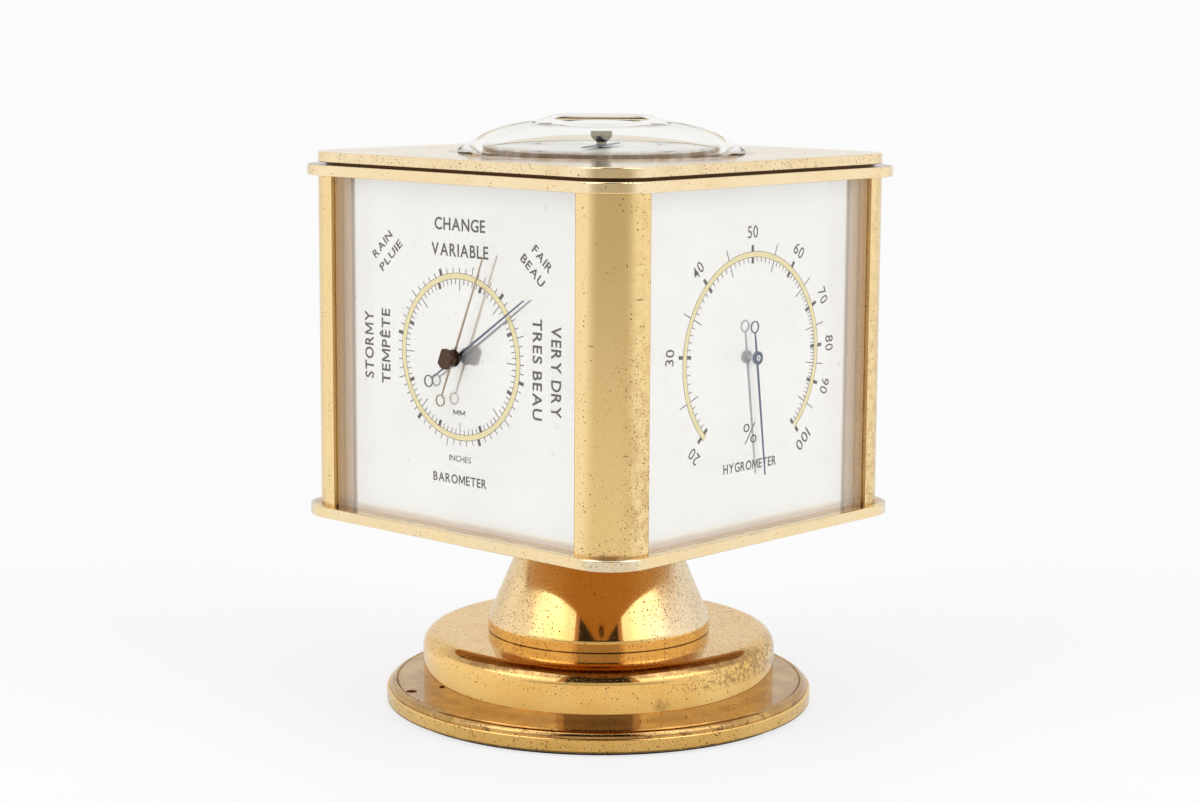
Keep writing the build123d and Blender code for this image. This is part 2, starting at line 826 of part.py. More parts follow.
def sector_lever():
    """Toothed sector on its own pin, with the tail that the capsule's leaf moves."""
    start = 180 + 360 / sector_tooth_count * sector_shift_count
    tail = Pos(sector_tail_length / 2, 0) * Rectangle(sector_tail_length, sector_arm_width)
    face = gear_face(gear_module, sector_tooth_count, sector_cut_count, start)
    face += tail + Circle(sector_hub_radius)
    pin = rod(arbor_radius, bridge_back, sector_back)
    lever = Pos(Z=sector_back) * extrude(face, gear_thickness) + pin
    return on_face(Pos(sector_distance, 0) * lever, barometer_turn)


def barometer_arbor():
    half_tooth = 360 / pinion_tooth_count / 2
    pinion = extrude(gear_face(gear_module, pinion_tooth_count, start=half_tooth), gear_thickness)
    bar = arbor_bar(bridge_back, barometer_hand_lift, arbor_shoulder_radius)
    return on_face(bar + Pos(Z=sector_back) * pinion, barometer_turn)


def barometer_hand():
    hand = ring_pointer(barometer_hand_length, barometer_tail_length, arbor_radius + fit_gap)
    return placed_hand(hand, barometer_hand_angle, barometer_hand_lift, barometer_turn)


# Humidity and temperature coils, behind their dials

def coil_frame(turn):
    """Bridge with three posts that carries the coil and the rear end of the arbor."""
    back = dial_back - coil_depth
    frame = rod(coil_post_circle + coil_frame_margin, back, back + coil_frame_thickness)
    frame -= rod(arbor_radius + fit_gap, back - cut_overrun, back + coil_frame_thickness + cut_overrun)
    for post in around(rod(coil_post_radius, back, dial_back), coil_post_count, coil_post_circle):
        frame += post
    return on_face(frame, turn)


def coil_strip(turn, turns):
    """Flat strip wound from the arbor out to the first post."""
    steps = turns * coil_turn_point_count
    growth = (coil_outer_radius - coil_inner_radius) / steps
    half = coil_strip_thickness / 2

    def side(offset):
        radius = [coil_inner_radius + growth * i + offset for i in range(steps + 1)]
        angle = [2 * pi * i / coil_turn_point_count for i in range(steps + 1)]
        return [(r * cos(a), r * sin(a)) for r, a in zip(radius, angle)]

    face = chain(side(-half) + side(half)[::-1])
    bottom = dial_back - coil_depth + coil_frame_thickness + coil_side_gap
    return on_face(Pos(Z=bottom) * extrude(face, coil_strip_width), turn)


def coil_arbor(turn, lift):
    rear = dial_back - coil_depth
    return on_face(arbor_bar(rear, lift, coil_cap_radius), turn)


# Clock

def clock_case():
    """Round cup with a rim that bears on the back of the dial."""
    back = dial_back - case_depth
    cup = rod(case_radius, back, dial_back)
    cup += rod(case_radius + case_rim_width, dial_back - case_rim_thickness, dial_back)
    cup -= rod(case_radius - case_wall, back + case_wall, dial_back + cut_overrun)
    port = Pos(Z=stem_place) * Rot(X=90) * rod(stem_radius + fit_gap, 0, case_radius + cut_overrun)
    return on_face(cup - port, clock_turn)


def clock_movement():
    """Closed movement with the post of the minute wheel and a bore for the stem."""
    back = dial_back - case_depth + case_wall
    front = back + movement_thickness
    radius = case_radius - case_wall - fit_gap
    block = rod(radius, back, front)
    post_end = hour_wheel_back + motion_wheel_thickness
    block += Rot(Z=minute_wheel_angle) * Pos(X=motion_distance) * rod(minute_post_radius, front, post_end)
    block -= rod(arbor_radius + fit_gap, front - cannon_arbor_depth - slip_gap, front + cut_overrun)
    reach = radius - stem_bearing_depth - slip_gap
    block -= Pos(Z=stem_place) * Rot(X=90) * rod(stem_radius + fit_gap, reach, radius + cut_overrun)
    return on_face(block, clock_turn)


def cannon_pinion():
    """Pinion and pipe on the minute arbor; the minute hand sits on its top."""
    teeth = gear_face(clock_module, cannon_tooth_count, start=minute_wheel_angle)
    gear = extrude(teeth, motion_pinion_thickness)
    seat = dial_front + minute_hand_lift
    body = Pos(Z=cannon_back) * gear
    body += rod(arbor_radius, movement_front - cannon_arbor_depth, cannon_back)
    body += rod(cannon_pipe_radius, cannon_back, seat + hand_thickness)
    body += rod(cannon_shoulder_radius, seat - arbor_shoulder_height, seat)
    body += rod(cannon_shoulder_radius, seat + hand_thickness, seat + hand_thickness + arbor_cap_height)
    return on_face(body, clock_turn)


def minute_wheel():
    """Wheel and pinion that take the motion from the cannon pinion to the hour wheel."""
    half_tooth = 360 / minute_wheel_tooth_count / 2
    wheel_face = gear_face(clock_module, minute_wheel_tooth_count, start=180 + half_tooth)
    wheel = extrude(wheel_face, motion_wheel_thickness)
    pinion = extrude(gear_face(clock_module, minute_pinion_tooth_count, start=180), minute_pinion_height)
    body = wheel + Pos(Z=motion_wheel_thickness) * pinion
    height = motion_wheel_thickness + minute_pinion_height
    body -= rod(minute_post_radius + fit_gap, -cut_overrun, height + cut_overrun)
    place = Rot(Z=minute_wheel_angle) * Pos(motion_distance, 0, minute_wheel_back)
    return on_face(place * body, clock_turn)


def hour_wheel():
    """Wheel and pipe round the cannon pipe; the hour hand sits on its top."""
    half_tooth = 360 / hour_wheel_tooth_count / 2
    wheel_face = gear_face(clock_module, hour_wheel_tooth_count, start=minute_wheel_angle + half_tooth)
    top = dial_front + hour_hand_lift + hand_thickness
    body = Pos(Z=hour_wheel_back) * extrude(wheel_face, motion_wheel_thickness)
    body += rod(hour_pipe_radius, hour_wheel_back, top)
    body -= rod(cannon_pipe_radius + fit_gap, hour_wheel_back - cut_overrun, top + cut_overrun)
    return on_face(body, clock_turn)


def minute_hand():
    hand = baton_hand(minute_hand_length, clock_hub_radius, cannon_pipe_radius + fit_gap)
    return placed_hand(hand, minute_hand_angle, minute_hand_lift, clock_turn)


def hour_hand():
    hand = baton_hand(hour_hand_length, clock_hub_radius, hour_pipe_radius + fit_gap)
    return placed_hand(hand, hour_hand_angle, hour_hand_lift, clock_turn)


# Winding and setting crown under the bottom plate

def stem_sleeve():
    """Guide bush that slides in the bottom plate as the crown is pulled."""
    bush = tube(sleeve_radius, stem_radius + fit_gap, sleeve_bottom, sleeve_flange_bottom)
    flange = tube(sleeve_flange_radius, stem_radius + fit_gap, sleeve_flange_bottom, sleeve_top)
    return Pos(X=-stem_place) * (bush + flange)


def winding_stem():
    """Stem from the crown up into the movement, with a collar over the sleeve."""
    top = dial_centre - (case_radius - case_wall - fit_gap) + stem_bearing_depth
    stem = rod(stem_radius, crown_top, top)
    collar_bottom = sleeve_top + fit_gap
    collar = rod(sleeve_radius, collar_bottom, collar_bottom + sleeve_flange_height)
    return Pos(X=-stem_place) * (stem + collar)


def winding_crown():
    """Fluted crown fixed to the lower end of the stem."""
    bottom = crown_top - crown_height
    crown = rod(crown_radius, bottom, crown_top)
    rims = crown.edges().filter_by(GeomType.CIRCLE)
    crown = chamfer(rims, crown_edge)
    flute = rod(crown_flute_radius, bottom - cut_overrun, crown_top + cut_overrun)
    crown -= around(flute, crown_flute_count, crown_radius)
    return Pos(X=-stem_place) * crown


# The base, which stands still
keep("foot_pad", foot_pad(), felt)
keep("base_flange", base_flange(), brass)
keep("base_screws", base_screws(), steel)
keep("step_disc", step_disc(), brass)
keep("base_weight", base_weight(), steel)
keep("pivot_bolt", pivot_bolt(), steel)
keep("spring_washer", spring_washer(), steel)
keep("pivot_nut", pivot_nut(), steel)

# The head, which turns on the base
keep("pedestal_cone", pedestal_cone(), brass)
keep("pedestal_screws", cone_screws(), steel)
keep("bottom_plate", bottom_plate(), brass)
for place, turn in (("right", 0), ("rear", 90), ("left", 180), ("front", 270)):
    keep(f"corner_post_{place}", corner_post(turn), brass)
keep("bottom_post_screws", bottom_post_screws(), steel)
keep("top_post_screws", top_post_screws(), steel)
keep("top_plate", top_plate(), brass)
keep("lid", lid(), brass)
keep("barometer_pane", pane(barometer_turn, knob_spindle_radius + fit_gap), glass)
keep("hygrometer_pane", pane(hygrometer_turn), glass)
keep("thermometer_pane", pane(thermometer_turn), glass)
keep("clock_pane", pane(clock_turn), glass)
for name, turn in (("barometer", barometer_turn), ("hygrometer", hygrometer_turn),
                   ("thermometer", thermometer_turn)):
    keep(f"{name}_dial", dial(turn, arbor_radius + fit_gap), silvered)
keep("clock_dial", dial(clock_turn, hour_pipe_radius + fit_gap), silvered)
keep("compass_card", compass_card(), silvered)
keep("compass_pivot", compass_pivot(), steel)
keep("dome_crystal", dome_crystal(), glass)
keep("barometer_frame", barometer_frame(), brass)
keep("barometer_bridge", barometer_bridge(), brass)
keep("aneroid_capsule", aneroid_capsule(), silvered)
keep("leaf_spring", leaf_spring(), steel)
keep("hygrometer_frame", coil_frame(hygrometer_turn), brass)
keep("humidity_coil", coil_strip(hygrometer_turn, humidity_turn_count), silvered)
keep("thermometer_frame", coil_frame(thermometer_turn), brass)
keep("bimetal_coil", coil_strip(thermometer_turn, bimetal_turn_count), steel)
keep("clock_case", clock_case(), brass)
keep("clock_movement", clock_movement(), brass)

# Pieces that move on the head
keep("compass_needle", compass_needle(), blued)
keep("needle_cap", needle_cap(), brass)
keep("barometer_hand", barometer_hand(), blued)
keep("barometer_arbor", barometer_arbor(), steel)
keep("sector_lever", sector_lever(), brass)
keep("setting_hand", setting_hand(), brass)
keep("setting_knob", setting_knob(), brass)
for name, turn, length, tail, angle, lift in (
        ("hygrometer", hygrometer_turn, hygrometer_hand_length, hygrometer_tail_length,
         hygrometer_hand_angle, hygrometer_hand_lift),
        ("thermometer", thermometer_turn, thermometer_hand_length, thermometer_tail_length,
         thermometer_hand_angle, thermometer_hand_lift)):
    hand = ring_pointer(length, tail, arbor_radius + fit_gap)
    keep(f"{name}_hand", placed_hand(hand, angle, lift, turn), blued)
    keep(f"{name}_arbor", coil_arbor(turn, lift), steel)
keep("minute_hand", minute_hand(), blued)
keep("cannon_pinion", cannon_pinion(), brass)
keep("minute_wheel", minute_wheel(), brass)
keep("hour_hand", hour_hand(), blued)
keep("hour_wheel", hour_wheel(), brass)
keep("stem_sleeve", stem_sleeve(), brass)
keep("winding_stem", winding_stem(), steel)
keep("winding_crown", winding_crown(), brass)

os.makedirs("parts", exist_ok=True)
for name, shape in parts.items():
    export_step(shape, f"parts/{name}.step")
    size = shape.bounding_box().size
    print(f"{name}: {size.X:.2f} x {size.Y:.2f} x {size.Z:.2f}")
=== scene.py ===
import bmesh
import bpy
from math import atan2, cos, hypot, pi, radians, sin, tan
from mathutils import Matrix, Vector


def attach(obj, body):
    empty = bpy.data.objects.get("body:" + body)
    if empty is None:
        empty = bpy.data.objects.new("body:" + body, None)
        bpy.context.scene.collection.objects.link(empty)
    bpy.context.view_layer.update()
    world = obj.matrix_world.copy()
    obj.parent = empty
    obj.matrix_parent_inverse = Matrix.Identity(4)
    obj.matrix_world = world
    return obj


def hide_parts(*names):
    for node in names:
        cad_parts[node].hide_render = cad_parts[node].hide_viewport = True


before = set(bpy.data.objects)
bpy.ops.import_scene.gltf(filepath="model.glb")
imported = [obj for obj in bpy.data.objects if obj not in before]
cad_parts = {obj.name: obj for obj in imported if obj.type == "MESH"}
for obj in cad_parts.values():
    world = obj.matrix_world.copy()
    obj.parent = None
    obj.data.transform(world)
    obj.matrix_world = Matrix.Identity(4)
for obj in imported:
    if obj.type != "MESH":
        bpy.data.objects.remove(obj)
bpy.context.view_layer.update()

mm = 0.001
stage = bpy.context.scene


# Camera
# A lens of about 75 mm on a tripod, a little above the head and turned to the front corner post.
# It looks down by 8.4 degrees; the small shift keeps the optical axis where the picture has it.

camera_place = (364.93 * mm, -396.58 * mm, 147.38 * mm)
camera_azimuth = radians(42.62)
camera_dip = 8.39
camera_roll = 0.32
picture_width = 1200


def new_object(name, data):
    made = bpy.data.objects.new(name, data)
    stage.collection.objects.link(made)
    return made


camera_data = bpy.data.cameras.new("camera")
camera_data.sensor_width = 36.0
camera_data.sensor_fit = "HORIZONTAL"
camera_data.lens = 74.94
camera_data.shift_y = -6.53 / picture_width
camera_data.clip_start = 0.01
camera_data.clip_end = 200.0
camera = new_object("camera", camera_data)
camera.matrix_world = (
    Matrix.Translation(camera_place) @ Matrix.Rotation(camera_azimuth, 4, "Z")
    @ Matrix.Rotation(radians(90 - camera_dip), 4, "X") @ Matrix.Rotation(radians(camera_roll), 4, "Z"))
stage.camera = camera
stage.view_settings.view_transform = "Standard"


# Studio light
# A white table and backdrop, a large soft box at each side and one above; the room behind the camera
# is a little darker, which draws the grey-gold band down the middle of the polished brass.

def feed(node, inputs):
    """Link a node's inputs to sockets, or give them values; a colour is given without its alpha."""
    for key, value in inputs.items():
        entry = node.inputs[key]
        if isinstance(value, bpy.types.NodeSocket):
            node.id_data.links.new(value, entry)
        else:
            entry.default_value = (*value, 1) if entry.type == "RGBA" else value


def add(tree, kind, inputs=None, **settings):
    made = tree.nodes.new(kind)
    for key, value in settings.items():
        setattr(made, key, value)
    feed(made, inputs or {})
    return made


def maths(operation, first, second=0.0):
    """A sum on numbers and sockets, in the tree that its socket belongs to."""
    tree = (first if isinstance(first, bpy.types.NodeSocket) else second).id_data
    return add(tree, "ShaderNodeMath", {0: first, 1: second}, operation=operation).outputs[0]


def times(first, *others):
    for other in others:
        first = maths("MULTIPLY", first, other)
    return first


def most(first, *others):
    """The greatest of some values, point by point."""
    for other in others:
        first = maths("MAXIMUM", first, other)
    return first


def vector(operation, first, second=(0, 0, 0)):
    """A place or direction, or the number that a length, distance or dot product gives."""
    made = add(first.id_data, "ShaderNodeVectorMath", {0: first, 1: second}, operation=operation)
    return made.outputs["Value" if operation in ("LENGTH", "DISTANCE", "DOT_PRODUCT") else "Vector"]


def parts_of(where):
    return add(where.id_data, "ShaderNodeSeparateXYZ", {0: where}).outputs


def ramp(value, low, high, start=0.0, end=1.0, kind="SMOOTHSTEP"):
    """Value carried from the span low..high to start..end."""
    spans = {"Value": value, "From Min": low, "From Max": high, "To Min": start, "To Max": end}
    return add(value.id_data, "ShaderNodeMapRange", spans, interpolation_type=kind).outputs["Result"]


def blend(share, first, second):
    """Two colours mixed, the second by its share."""
    return add(share.id_data, "ShaderNodeMix", {0: share, 6: first, 7: second}, data_type="RGBA").outputs[2]


def mixed(share, first, second):
    """Two surfaces mixed, the second by its share."""
    return add(share.id_data, "ShaderNodeMixShader", {0: share, 1: first, 2: second}).outputs[0]


def facing(direction):
    """Cosine of the angle between a direction and the middle of the room's dim side, seen from above."""
    level = vector("NORMALIZE", vector("MULTIPLY", direction, (1, 1, 0)))
    return vector("DOT_PRODUCT", level, (sin(camera_azimuth), -cos(camera_azimuth), 0))


def sides_of_room(front):
    return blend(ramp(front, -0.75, -0.35), (0.90, 0.89, 0.87), (1.06, 1.05, 1.02))


# Spans of height or of facing, from where a part of the room begins to where it is full
box_height, box_front = (0.26, 0.40), (0.05, 0.22)
glare_height, glare_left, glare_right = (0.32, 0.50), (0.12, 0.32), (0.84, 0.62)
dim_front, dim_height = (0.50, 0.88), (0.24, 0.12)
door_foot, door_head, door_frame, door_opening = (0.16, 0.36), (0.90, 0.84), (0.884, 0.898), (0.920, 0.930)
plain_white = 0.965

world = bpy.data.worlds.new("studio")
world.use_nodes = True
stage.world = world
sky = world.node_tree
sky.nodes.clear()
ray = add(sky, "ShaderNodeLightPath").outputs
aim = add(sky, "ShaderNodeTexCoord").outputs["Generated"]
height = parts_of(aim)["Z"]
front = facing(aim)
boxes = times(ramp(height, *box_height), ramp(front, *box_front))
room = blend(boxes, sides_of_room(front), (1.5, 1.49, 1.46))
glare = times(ramp(height, *glare_height), ramp(front, *glare_left), ramp(front, *glare_right))
room = blend(glare, room, (2.5, 2.5, 2.5))
room = blend(times(ramp(front, *dim_front), ramp(height, *dim_height)), room, (0.56, 0.51, 0.41))
doorway = times(ramp(height, *door_foot), ramp(height, *door_head))
room = blend(times(ramp(front, *door_frame), doorway), room, (0.52, 0.27, 0.16))
room = blend(times(ramp(front, *door_opening), doorway), room, (0.035, 0.028, 0.022))
level = blend(ray["Is Glossy Ray"], (0.66, 0.66, 0.66), room)
level = blend(most(ray["Is Camera Ray"], ray["Is Transmission Ray"]), level, (plain_white,) * 3)
backdrop = add(sky, "ShaderNodeBackground", {"Color": level, "Strength": 1.0}).outputs[0]
add(sky, "ShaderNodeOutputWorld", {"Surface": backdrop})

# Soft boxes aimed at the middle of the object: turn and rise are in degrees, from the camera's side and
# from level, and strength is the brightness of the box's face
aim_at = Vector((0, 0, 0.07))
for name, turn, rise, distance, width, tall, strength in (
        ("left_box", -62, 24, 1.2, 0.9, 1.0, 4.1), ("right_box", 62, 24, 1.2, 0.9, 1.0, 4.1),
        ("rear_box", 180, 40, 1.3, 1.2, 0.9, 1.2), ("top_box", 0, 84, 1.1, 1.0, 1.0, 0.6)):
    lamp_data = bpy.data.lights.new(name, "AREA")
    lamp_data.shape = "RECTANGLE"
    lamp_data.size = width
    lamp_data.size_y = tall
    lamp_data.energy = strength * width * tall * pi
    lamp = new_object(name, lamp_data)
    azimuth = camera_azimuth + radians(turn)
    elevation = radians(rise)
    away = Vector((sin(azimuth) * cos(elevation), -cos(azimuth) * cos(elevation), sin(elevation)))
    lamp.location = aim_at + away * distance
    lamp.rotation_euler = away.to_track_quat("Z", "Y").to_euler()
    lamp.visible_glossy = False
    lamp.visible_transmission = False


def new_mesh(name, points, faces=()):
    mesh = bpy.data.meshes.new(name)
    mesh.from_pydata(points, [], faces)
    return mesh


def blank_finish(name):
    finish = bpy.data.materials.new(name)
    finish.use_nodes = True
    finish.node_tree.nodes.clear()
    return finish


table_half = 60
table_level = -2e-5
corners = [(x * table_half, y * table_half, table_level) for x, y in ((-1, -1), (1, -1), (1, 1), (-1, 1))]
table = new_object("table", new_mesh("table", corners, [(0, 1, 2, 3)]))
table_white = blank_finish("table_white")
top = table_white.node_tree
ray = add(top, "ShaderNodeLightPath").outputs
place = add(top, "ShaderNodeTexCoord").outputs["Object"]
reach = vector("LENGTH", place)
front = facing(place)
# In reflections the table shows painted light: warm and bright near the object, dimmer further off and on the
# camera's side.
dim = blend(ramp(reach, 0.12, 1.10, kind="LINEAR"), (0.95, 0.86, 0.70), (0.57, 0.52, 0.42))
room = blend(ramp(front, *dim_front), sides_of_room(front), dim)
# A painted shadow round the object's foot, seen only in reflections.
room = blend(ramp(reach, 0.045, 0.085, 0.30, 0.0), room, (0, 0, 0))
lit = add(top, "ShaderNodeBsdfDiffuse", {"Color": (0.16, 0.16, 0.16)}).outputs[0]
white = add(top, "ShaderNodeEmission", {"Strength": 0.745}).outputs[0]
plain = add(top, "ShaderNodeEmission", {"Strength": plain_white}).outputs[0]
seen = add(top, "ShaderNodeAddShader", {0: lit, 1: white}).outputs[0]
seen = mixed(ramp(reach, 0.10, 0.42), seen, plain)
bounce = add(top, "ShaderNodeBsdfDiffuse", {"Color": (0.75, 0.75, 0.75)}).outputs[0]
mirrored = add(top, "ShaderNodeEmission", {"Color": room, "Strength": 1.0}).outputs[0]
surface = mixed(ray["Is Glossy Ray"], bounce, mirrored)
surface = mixed(most(ray["Is Camera Ray"], ray["Is Transmission Ray"]), surface, seen)
add(top, "ShaderNodeOutputMaterial", {"Surface": surface})
table.data.materials.append(table_white)


# Base
# A heavy turned and spun brass foot: felt pad below, flange with a bead and a fine groove round its
# rim, and a stepped disc over a cast weight. Gold lacquer on polished brass, pitted with age.

crease = radians(34)
arc_step = radians(9)


def arc_about(centre, first, last, steps):
    begin = first - centre
    swing = begin.angle_signed(last - centre)
    return [tuple(centre + Matrix.Rotation(-swing * k / steps, 2) @ begin) for k in range(steps + 1)]


def rounded_profile(corners, closed):
    """Points of a section whose third values are the corners' radii, with a close point each side."""
    count = len(corners)
    made = []
    for i, corner in enumerate(corners):
        point = Vector(corner[:2])
        if len(corner) < 3 or (not closed and i in (0, count - 1)):
            made.append((point.x, point.y))
            continue
        radius = corner[2]
        before = Vector(corners[i - 1][:2])
        after = Vector(corners[(i + 1) % count][:2])
        back = (before - point).normalized()
        ahead = (after - point).normalized()
        half = 0.5 * back.angle(ahead)
        run = radius / tan(half)
        centre = point + (back + ahead).normalized() * radius / sin(half)
        first = point + back * run
        last = point + ahead * run
        hold = min(0.06, 0.3 * radius)
        if (before - first).length > 2 * hold:
            made.append(tuple(first + back * hold))
        made += arc_about(centre, first, last, max(2, round((pi - 2 * half) / arc_step)))
        if (after - last).length > 2 * hold:
            made.append(tuple(last + ahead * hold))
    return made


def circle(radius, height, count=180):
    turns = [2 * pi * k / count for k in range(count)]
    return [(radius * cos(a), radius * sin(a), height) for a in turns]


def finished(name, mesh):
    """Object from a mesh, with its faces turned outwards and its creases kept crisp."""
    work = bmesh.new()
    work.from_mesh(mesh)
    bmesh.ops.remove_doubles(work, verts=work.verts, dist=1e-7)
    bmesh.ops.recalc_face_normals(work, faces=work.faces)
    work.to_mesh(mesh)
    work.free()
    mesh.shade_smooth()
    mesh.set_sharp_from_angle(angle=crease)
    return new_object(name, mesh)


def swept(name, corners, ring, closed=True):
    """Solid whose section is carried round by ring(size, height); an open section is capped flat."""
    rings = [ring(size, height) for size, height in rounded_profile(corners, closed)]
    count = len(rings[0])
    points = [Vector(p) * mm for loop in rings for p in loop]
    faces = []
    for i in range(len(rings) if closed else len(rings) - 1):
        j = (i + 1) % len(rings)
        for k in range(count):
            n = (k + 1) % count
            faces.append((i * count + k, i * count + n, j * count + n, j * count + k))
    if not closed:
        faces += [tuple(range(count)), tuple(range(len(points) - count, len(points)))]
    return finished(name, new_mesh(name, points, faces))


def prism(name, outline, low, high):
    """Mesh of an outline that stands from one height to another."""
    count = len(outline)
    sides = [(k, (k + 1) % count, count + (k + 1) % count, count + k) for k in range(count)]
    ends = [tuple(reversed(range(count))), tuple(range(count, 2 * count))]
    return new_mesh(name, [(x, y, z) for z in (low, high) for x, y in outline], sides + ends)


def settled(piece):
    """A piece with its modifiers applied and removed."""
    bpy.context.view_layer.update()
    seen_now = piece.evaluated_get(bpy.context.evaluated_depsgraph_get())
    mesh = bpy.data.meshes.new_from_object(seen_now)
    piece.modifiers.clear()
    piece.data = mesh
    return piece


def cut_by(piece, tool_mesh):
    tool = new_object("tool", tool_mesh)
    cut = piece.modifiers.new("cut", "BOOLEAN")
    cut.object = tool
    cut.solver = "EXACT"
    settled(piece)
    bpy.data.objects.remove(tool)


def dress(piece, body, finish, replaced=None):
    """Give a piece its finish and body, and hide the frame's node that it stands for."""
    piece.data.materials.clear()
    piece.data.materials.append(finish)
    if replaced:
        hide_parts(replaced)
    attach(piece, body)


def new_finish(name):
    """Material of one shader, with that shader and the place on the piece."""
    finish = blank_finish(name)
    tree = finish.node_tree
    shader = add(tree, "ShaderNodeBsdfPrincipled")
    add(tree, "ShaderNodeOutputMaterial", {"Surface": shader.outputs[0]})
    return finish, shader, add(tree, "ShaderNodeTexCoord").outputs["Object"]


def noise(where, scale, detail, **others):
    values = {"Vector": where, "Scale": scale, "Detail": detail, **others}
    return add(where.id_data, "ShaderNodeTexNoise", values).outputs["Fac"]


def bumped(height, strength, depth=0.00003):
    values = {"Strength": strength, "Distance": depth, "Height": height}
    return add(height.id_data, "ShaderNodeBump", values).outputs["Normal"]


def new_group(name, kind, inputs, outputs):
    """Node group with its two end nodes; each socket is given by its kind, or by a number to start from."""
    tree = bpy.data.node_groups.new(name, kind + "NodeTree")
    for way, sockets in (("INPUT", inputs), ("OUTPUT", outputs)):
        for key, start in sockets.items():
            number = not isinstance(start, str)
            socket_kind = "NodeSocket" + ("Float" if number else start)
            socket = tree.interface.new_socket(key, in_out=way, socket_type=socket_kind)
            if number:
                socket.default_value = start
    return tree, tree.nodes.new("NodeGroupInput").outputs, tree.nodes.new("NodeGroupOutput")


def pits_at(where, spot, coverage, patch):
    values = {"Vector": where, "Spot Size": spot, "Coverage": coverage, "Patch Size": patch}
    return add(where.id_data, "ShaderNodeGroup", values, node_tree=pitting).outputs


def lines_at(where, width):
    values = {"Vector": where, "Line Width": width}
    return add(where.id_data, "ShaderNodeGroup", values, node_tree=polish).outputs


# Round pits in patches: a cell of the pattern holds one where its luck is less than the coverage
pitting, given, result = new_group(
    "Pitting", "Shader", {"Vector": "Vector", "Spot Size": 0.0005, "Coverage": 0.3, "Patch Size": 0.012},
    {"Spots": "Float", "Halo": "Float"})
pit_scale = maths("DIVIDE", 1.0, given["Spot Size"])
patches = noise(given["Vector"], maths("DIVIDE", 1.0, given["Patch Size"]), 3, Roughness=0.6)
wobble = noise(given["Vector"], times(pit_scale, 1.7), 1)
cell = add(pitting, "ShaderNodeTexVoronoi", {"Vector": given["Vector"], "Scale": pit_scale}).outputs
luck = add(pitting, "ShaderNodeSeparateColor", {0: cell["Color"]}).outputs
chosen = maths("LESS_THAN", luck["Red"], times(ramp(patches, 0.30, 0.60), given["Coverage"]))
spread = maths("ADD", 0.10, times(maths("POWER", luck["Green"], 2.5), 0.36))
distance = maths("ADD", cell["Distance"], times(maths("SUBTRACT", wobble, 0.5), 0.22))
edge = maths("SUBTRACT", times(spread, chosen), distance)
feed(result, {"Spots": times(ramp(edge, -0.02, 0.10), chosen),
              "Halo": times(ramp(edge, -0.30, 0.10), chosen)})

polish, given, result = new_group(
    "Polishing Lines", "Shader", {"Vector": "Vector", "Line Width": 0.00012},
    {"Lines": "Float", "Cloud": "Float"})
line_scale = maths("DIVIDE", 1.0, given["Line Width"])
feed(result, {"Lines": noise(given["Vector"], line_scale, 2),
              "Cloud": noise(given["Vector"], times(line_scale, 0.012), 4)})

deep_gold = (0.875, 0.580, 0.215), (0.845, 0.525, 0.170)
brown_stain_and_shade = (0.340, 0.190, 0.075)
pit_brown = (0.165, 0.090, 0.030)
old_polish_and_shade = (0.075, 0.036, 0.014)
rubbed_brass = (0.800, 0.745, 0.640)
dull_brass = (0.925, 0.845, 0.690)


def lacquered_brass(name, gold, coverage=0.3, spot=0.0004, patch=0.012, lines=(1, 1, 1), rough=0.07,
                    pitted=None, stain_and_shade=None, worn=None, hazy=None, darkened=None, stain_and_shade_colour=brown_stain_and_shade):
    """Polished gold-lacquered brass with pits; the arguments from pitted up to the last colour are
    functions that say where each sits. Some of the stains and dark lines they place are painted shade,
    under the plates and in gaps and corners.
    """
    finish, shader, where = new_finish(name)
    marks = lines_at(vector("MULTIPLY", where, lines), 0.00012)
    cover = times(pitted(where), coverage) if pitted else coverage
    pits, specks, grit = [pits_at(where, spot * size, cover, patch * apart)
                          for size, apart in ((1.0, 1.0), (0.62, 0.7), (0.38, 0.5))]
    spots = most(pits["Spots"], times(specks["Spots"], 0.85), times(grit["Spots"], 0.65))
    colour = blend(ramp(marks["Cloud"], 0.35, 0.7), *gold)
    colour = blend(times(pits["Halo"], 0.30), colour, brown_stain_and_shade)
    roughness = ramp(marks["Cloud"], 0.3, 0.7, rough * 0.7, rough * 1.3, "LINEAR")
    roughness = maths("ADD", roughness, times(spots, 0.35))
    if stain_and_shade:
        colour = blend(stain_and_shade(where), colour, stain_and_shade_colour)
    if worn:
        colour = blend(worn(where), colour, rubbed_brass)
    if hazy:
        haze = hazy(where)
        colour = blend(times(haze, 0.60), colour, dull_brass)
        roughness = maths("ADD", roughness, times(haze, 0.22))
    colour = blend(times(spots, 0.90), colour, pit_brown)
    if darkened:
        colour = blend(darkened(where), colour, old_polish_and_shade)
    height = maths("SUBTRACT", times(marks["Lines"], 0.02), spots)
    feed(shader, {"Base Color": colour, "Metallic": 1.0, "Roughness": roughness,
                  "Normal": bumped(height, 0.3)})
    return finish


def fade(value, low, high, start=0.0, end=1.0):
    """Ramp over lengths in millimetres."""
    return ramp(value, low * mm, high * mm, start, end)


def band(value, low, high, soft):
    """1 between two lengths in millimetres, fading to 0 over soft at each side."""
    return times(fade(value, low - soft, low), fade(value, high, high + soft, 1.0, 0.0))


def height_of(where):
    return parts_of(where)["Z"]


def radius_of(where):
    return vector("LENGTH", vector("MULTIPLY", where, (1, 1, 0)))


def away_from(where, x, y, z):
    return vector("DISTANCE", where, (x * mm, y * mm, z * mm))


flange_radius, flange_foot, flange_top = 46.7, 0.8, 5.1
bead_radius, bead_foot, bead_round = 46.0, 3.75, 1.3
groove_in, groove_middle, groove_out, groove_foot = 44.2, 44.425, 44.65, 4.75
bolt_bore, bolt_head_bore, bolt_head_top = 3.05, 6.1, 3.1
hole_radius, hole_foot = 1.15, 4.5
hole_x, hole_y = 43.0 * cos(radians(-117)), 43.0 * sin(radians(-117))


def rim_pitted(where):
    return fade(radius_of(where), 42.5, 45.0, 0.35, 1.0)


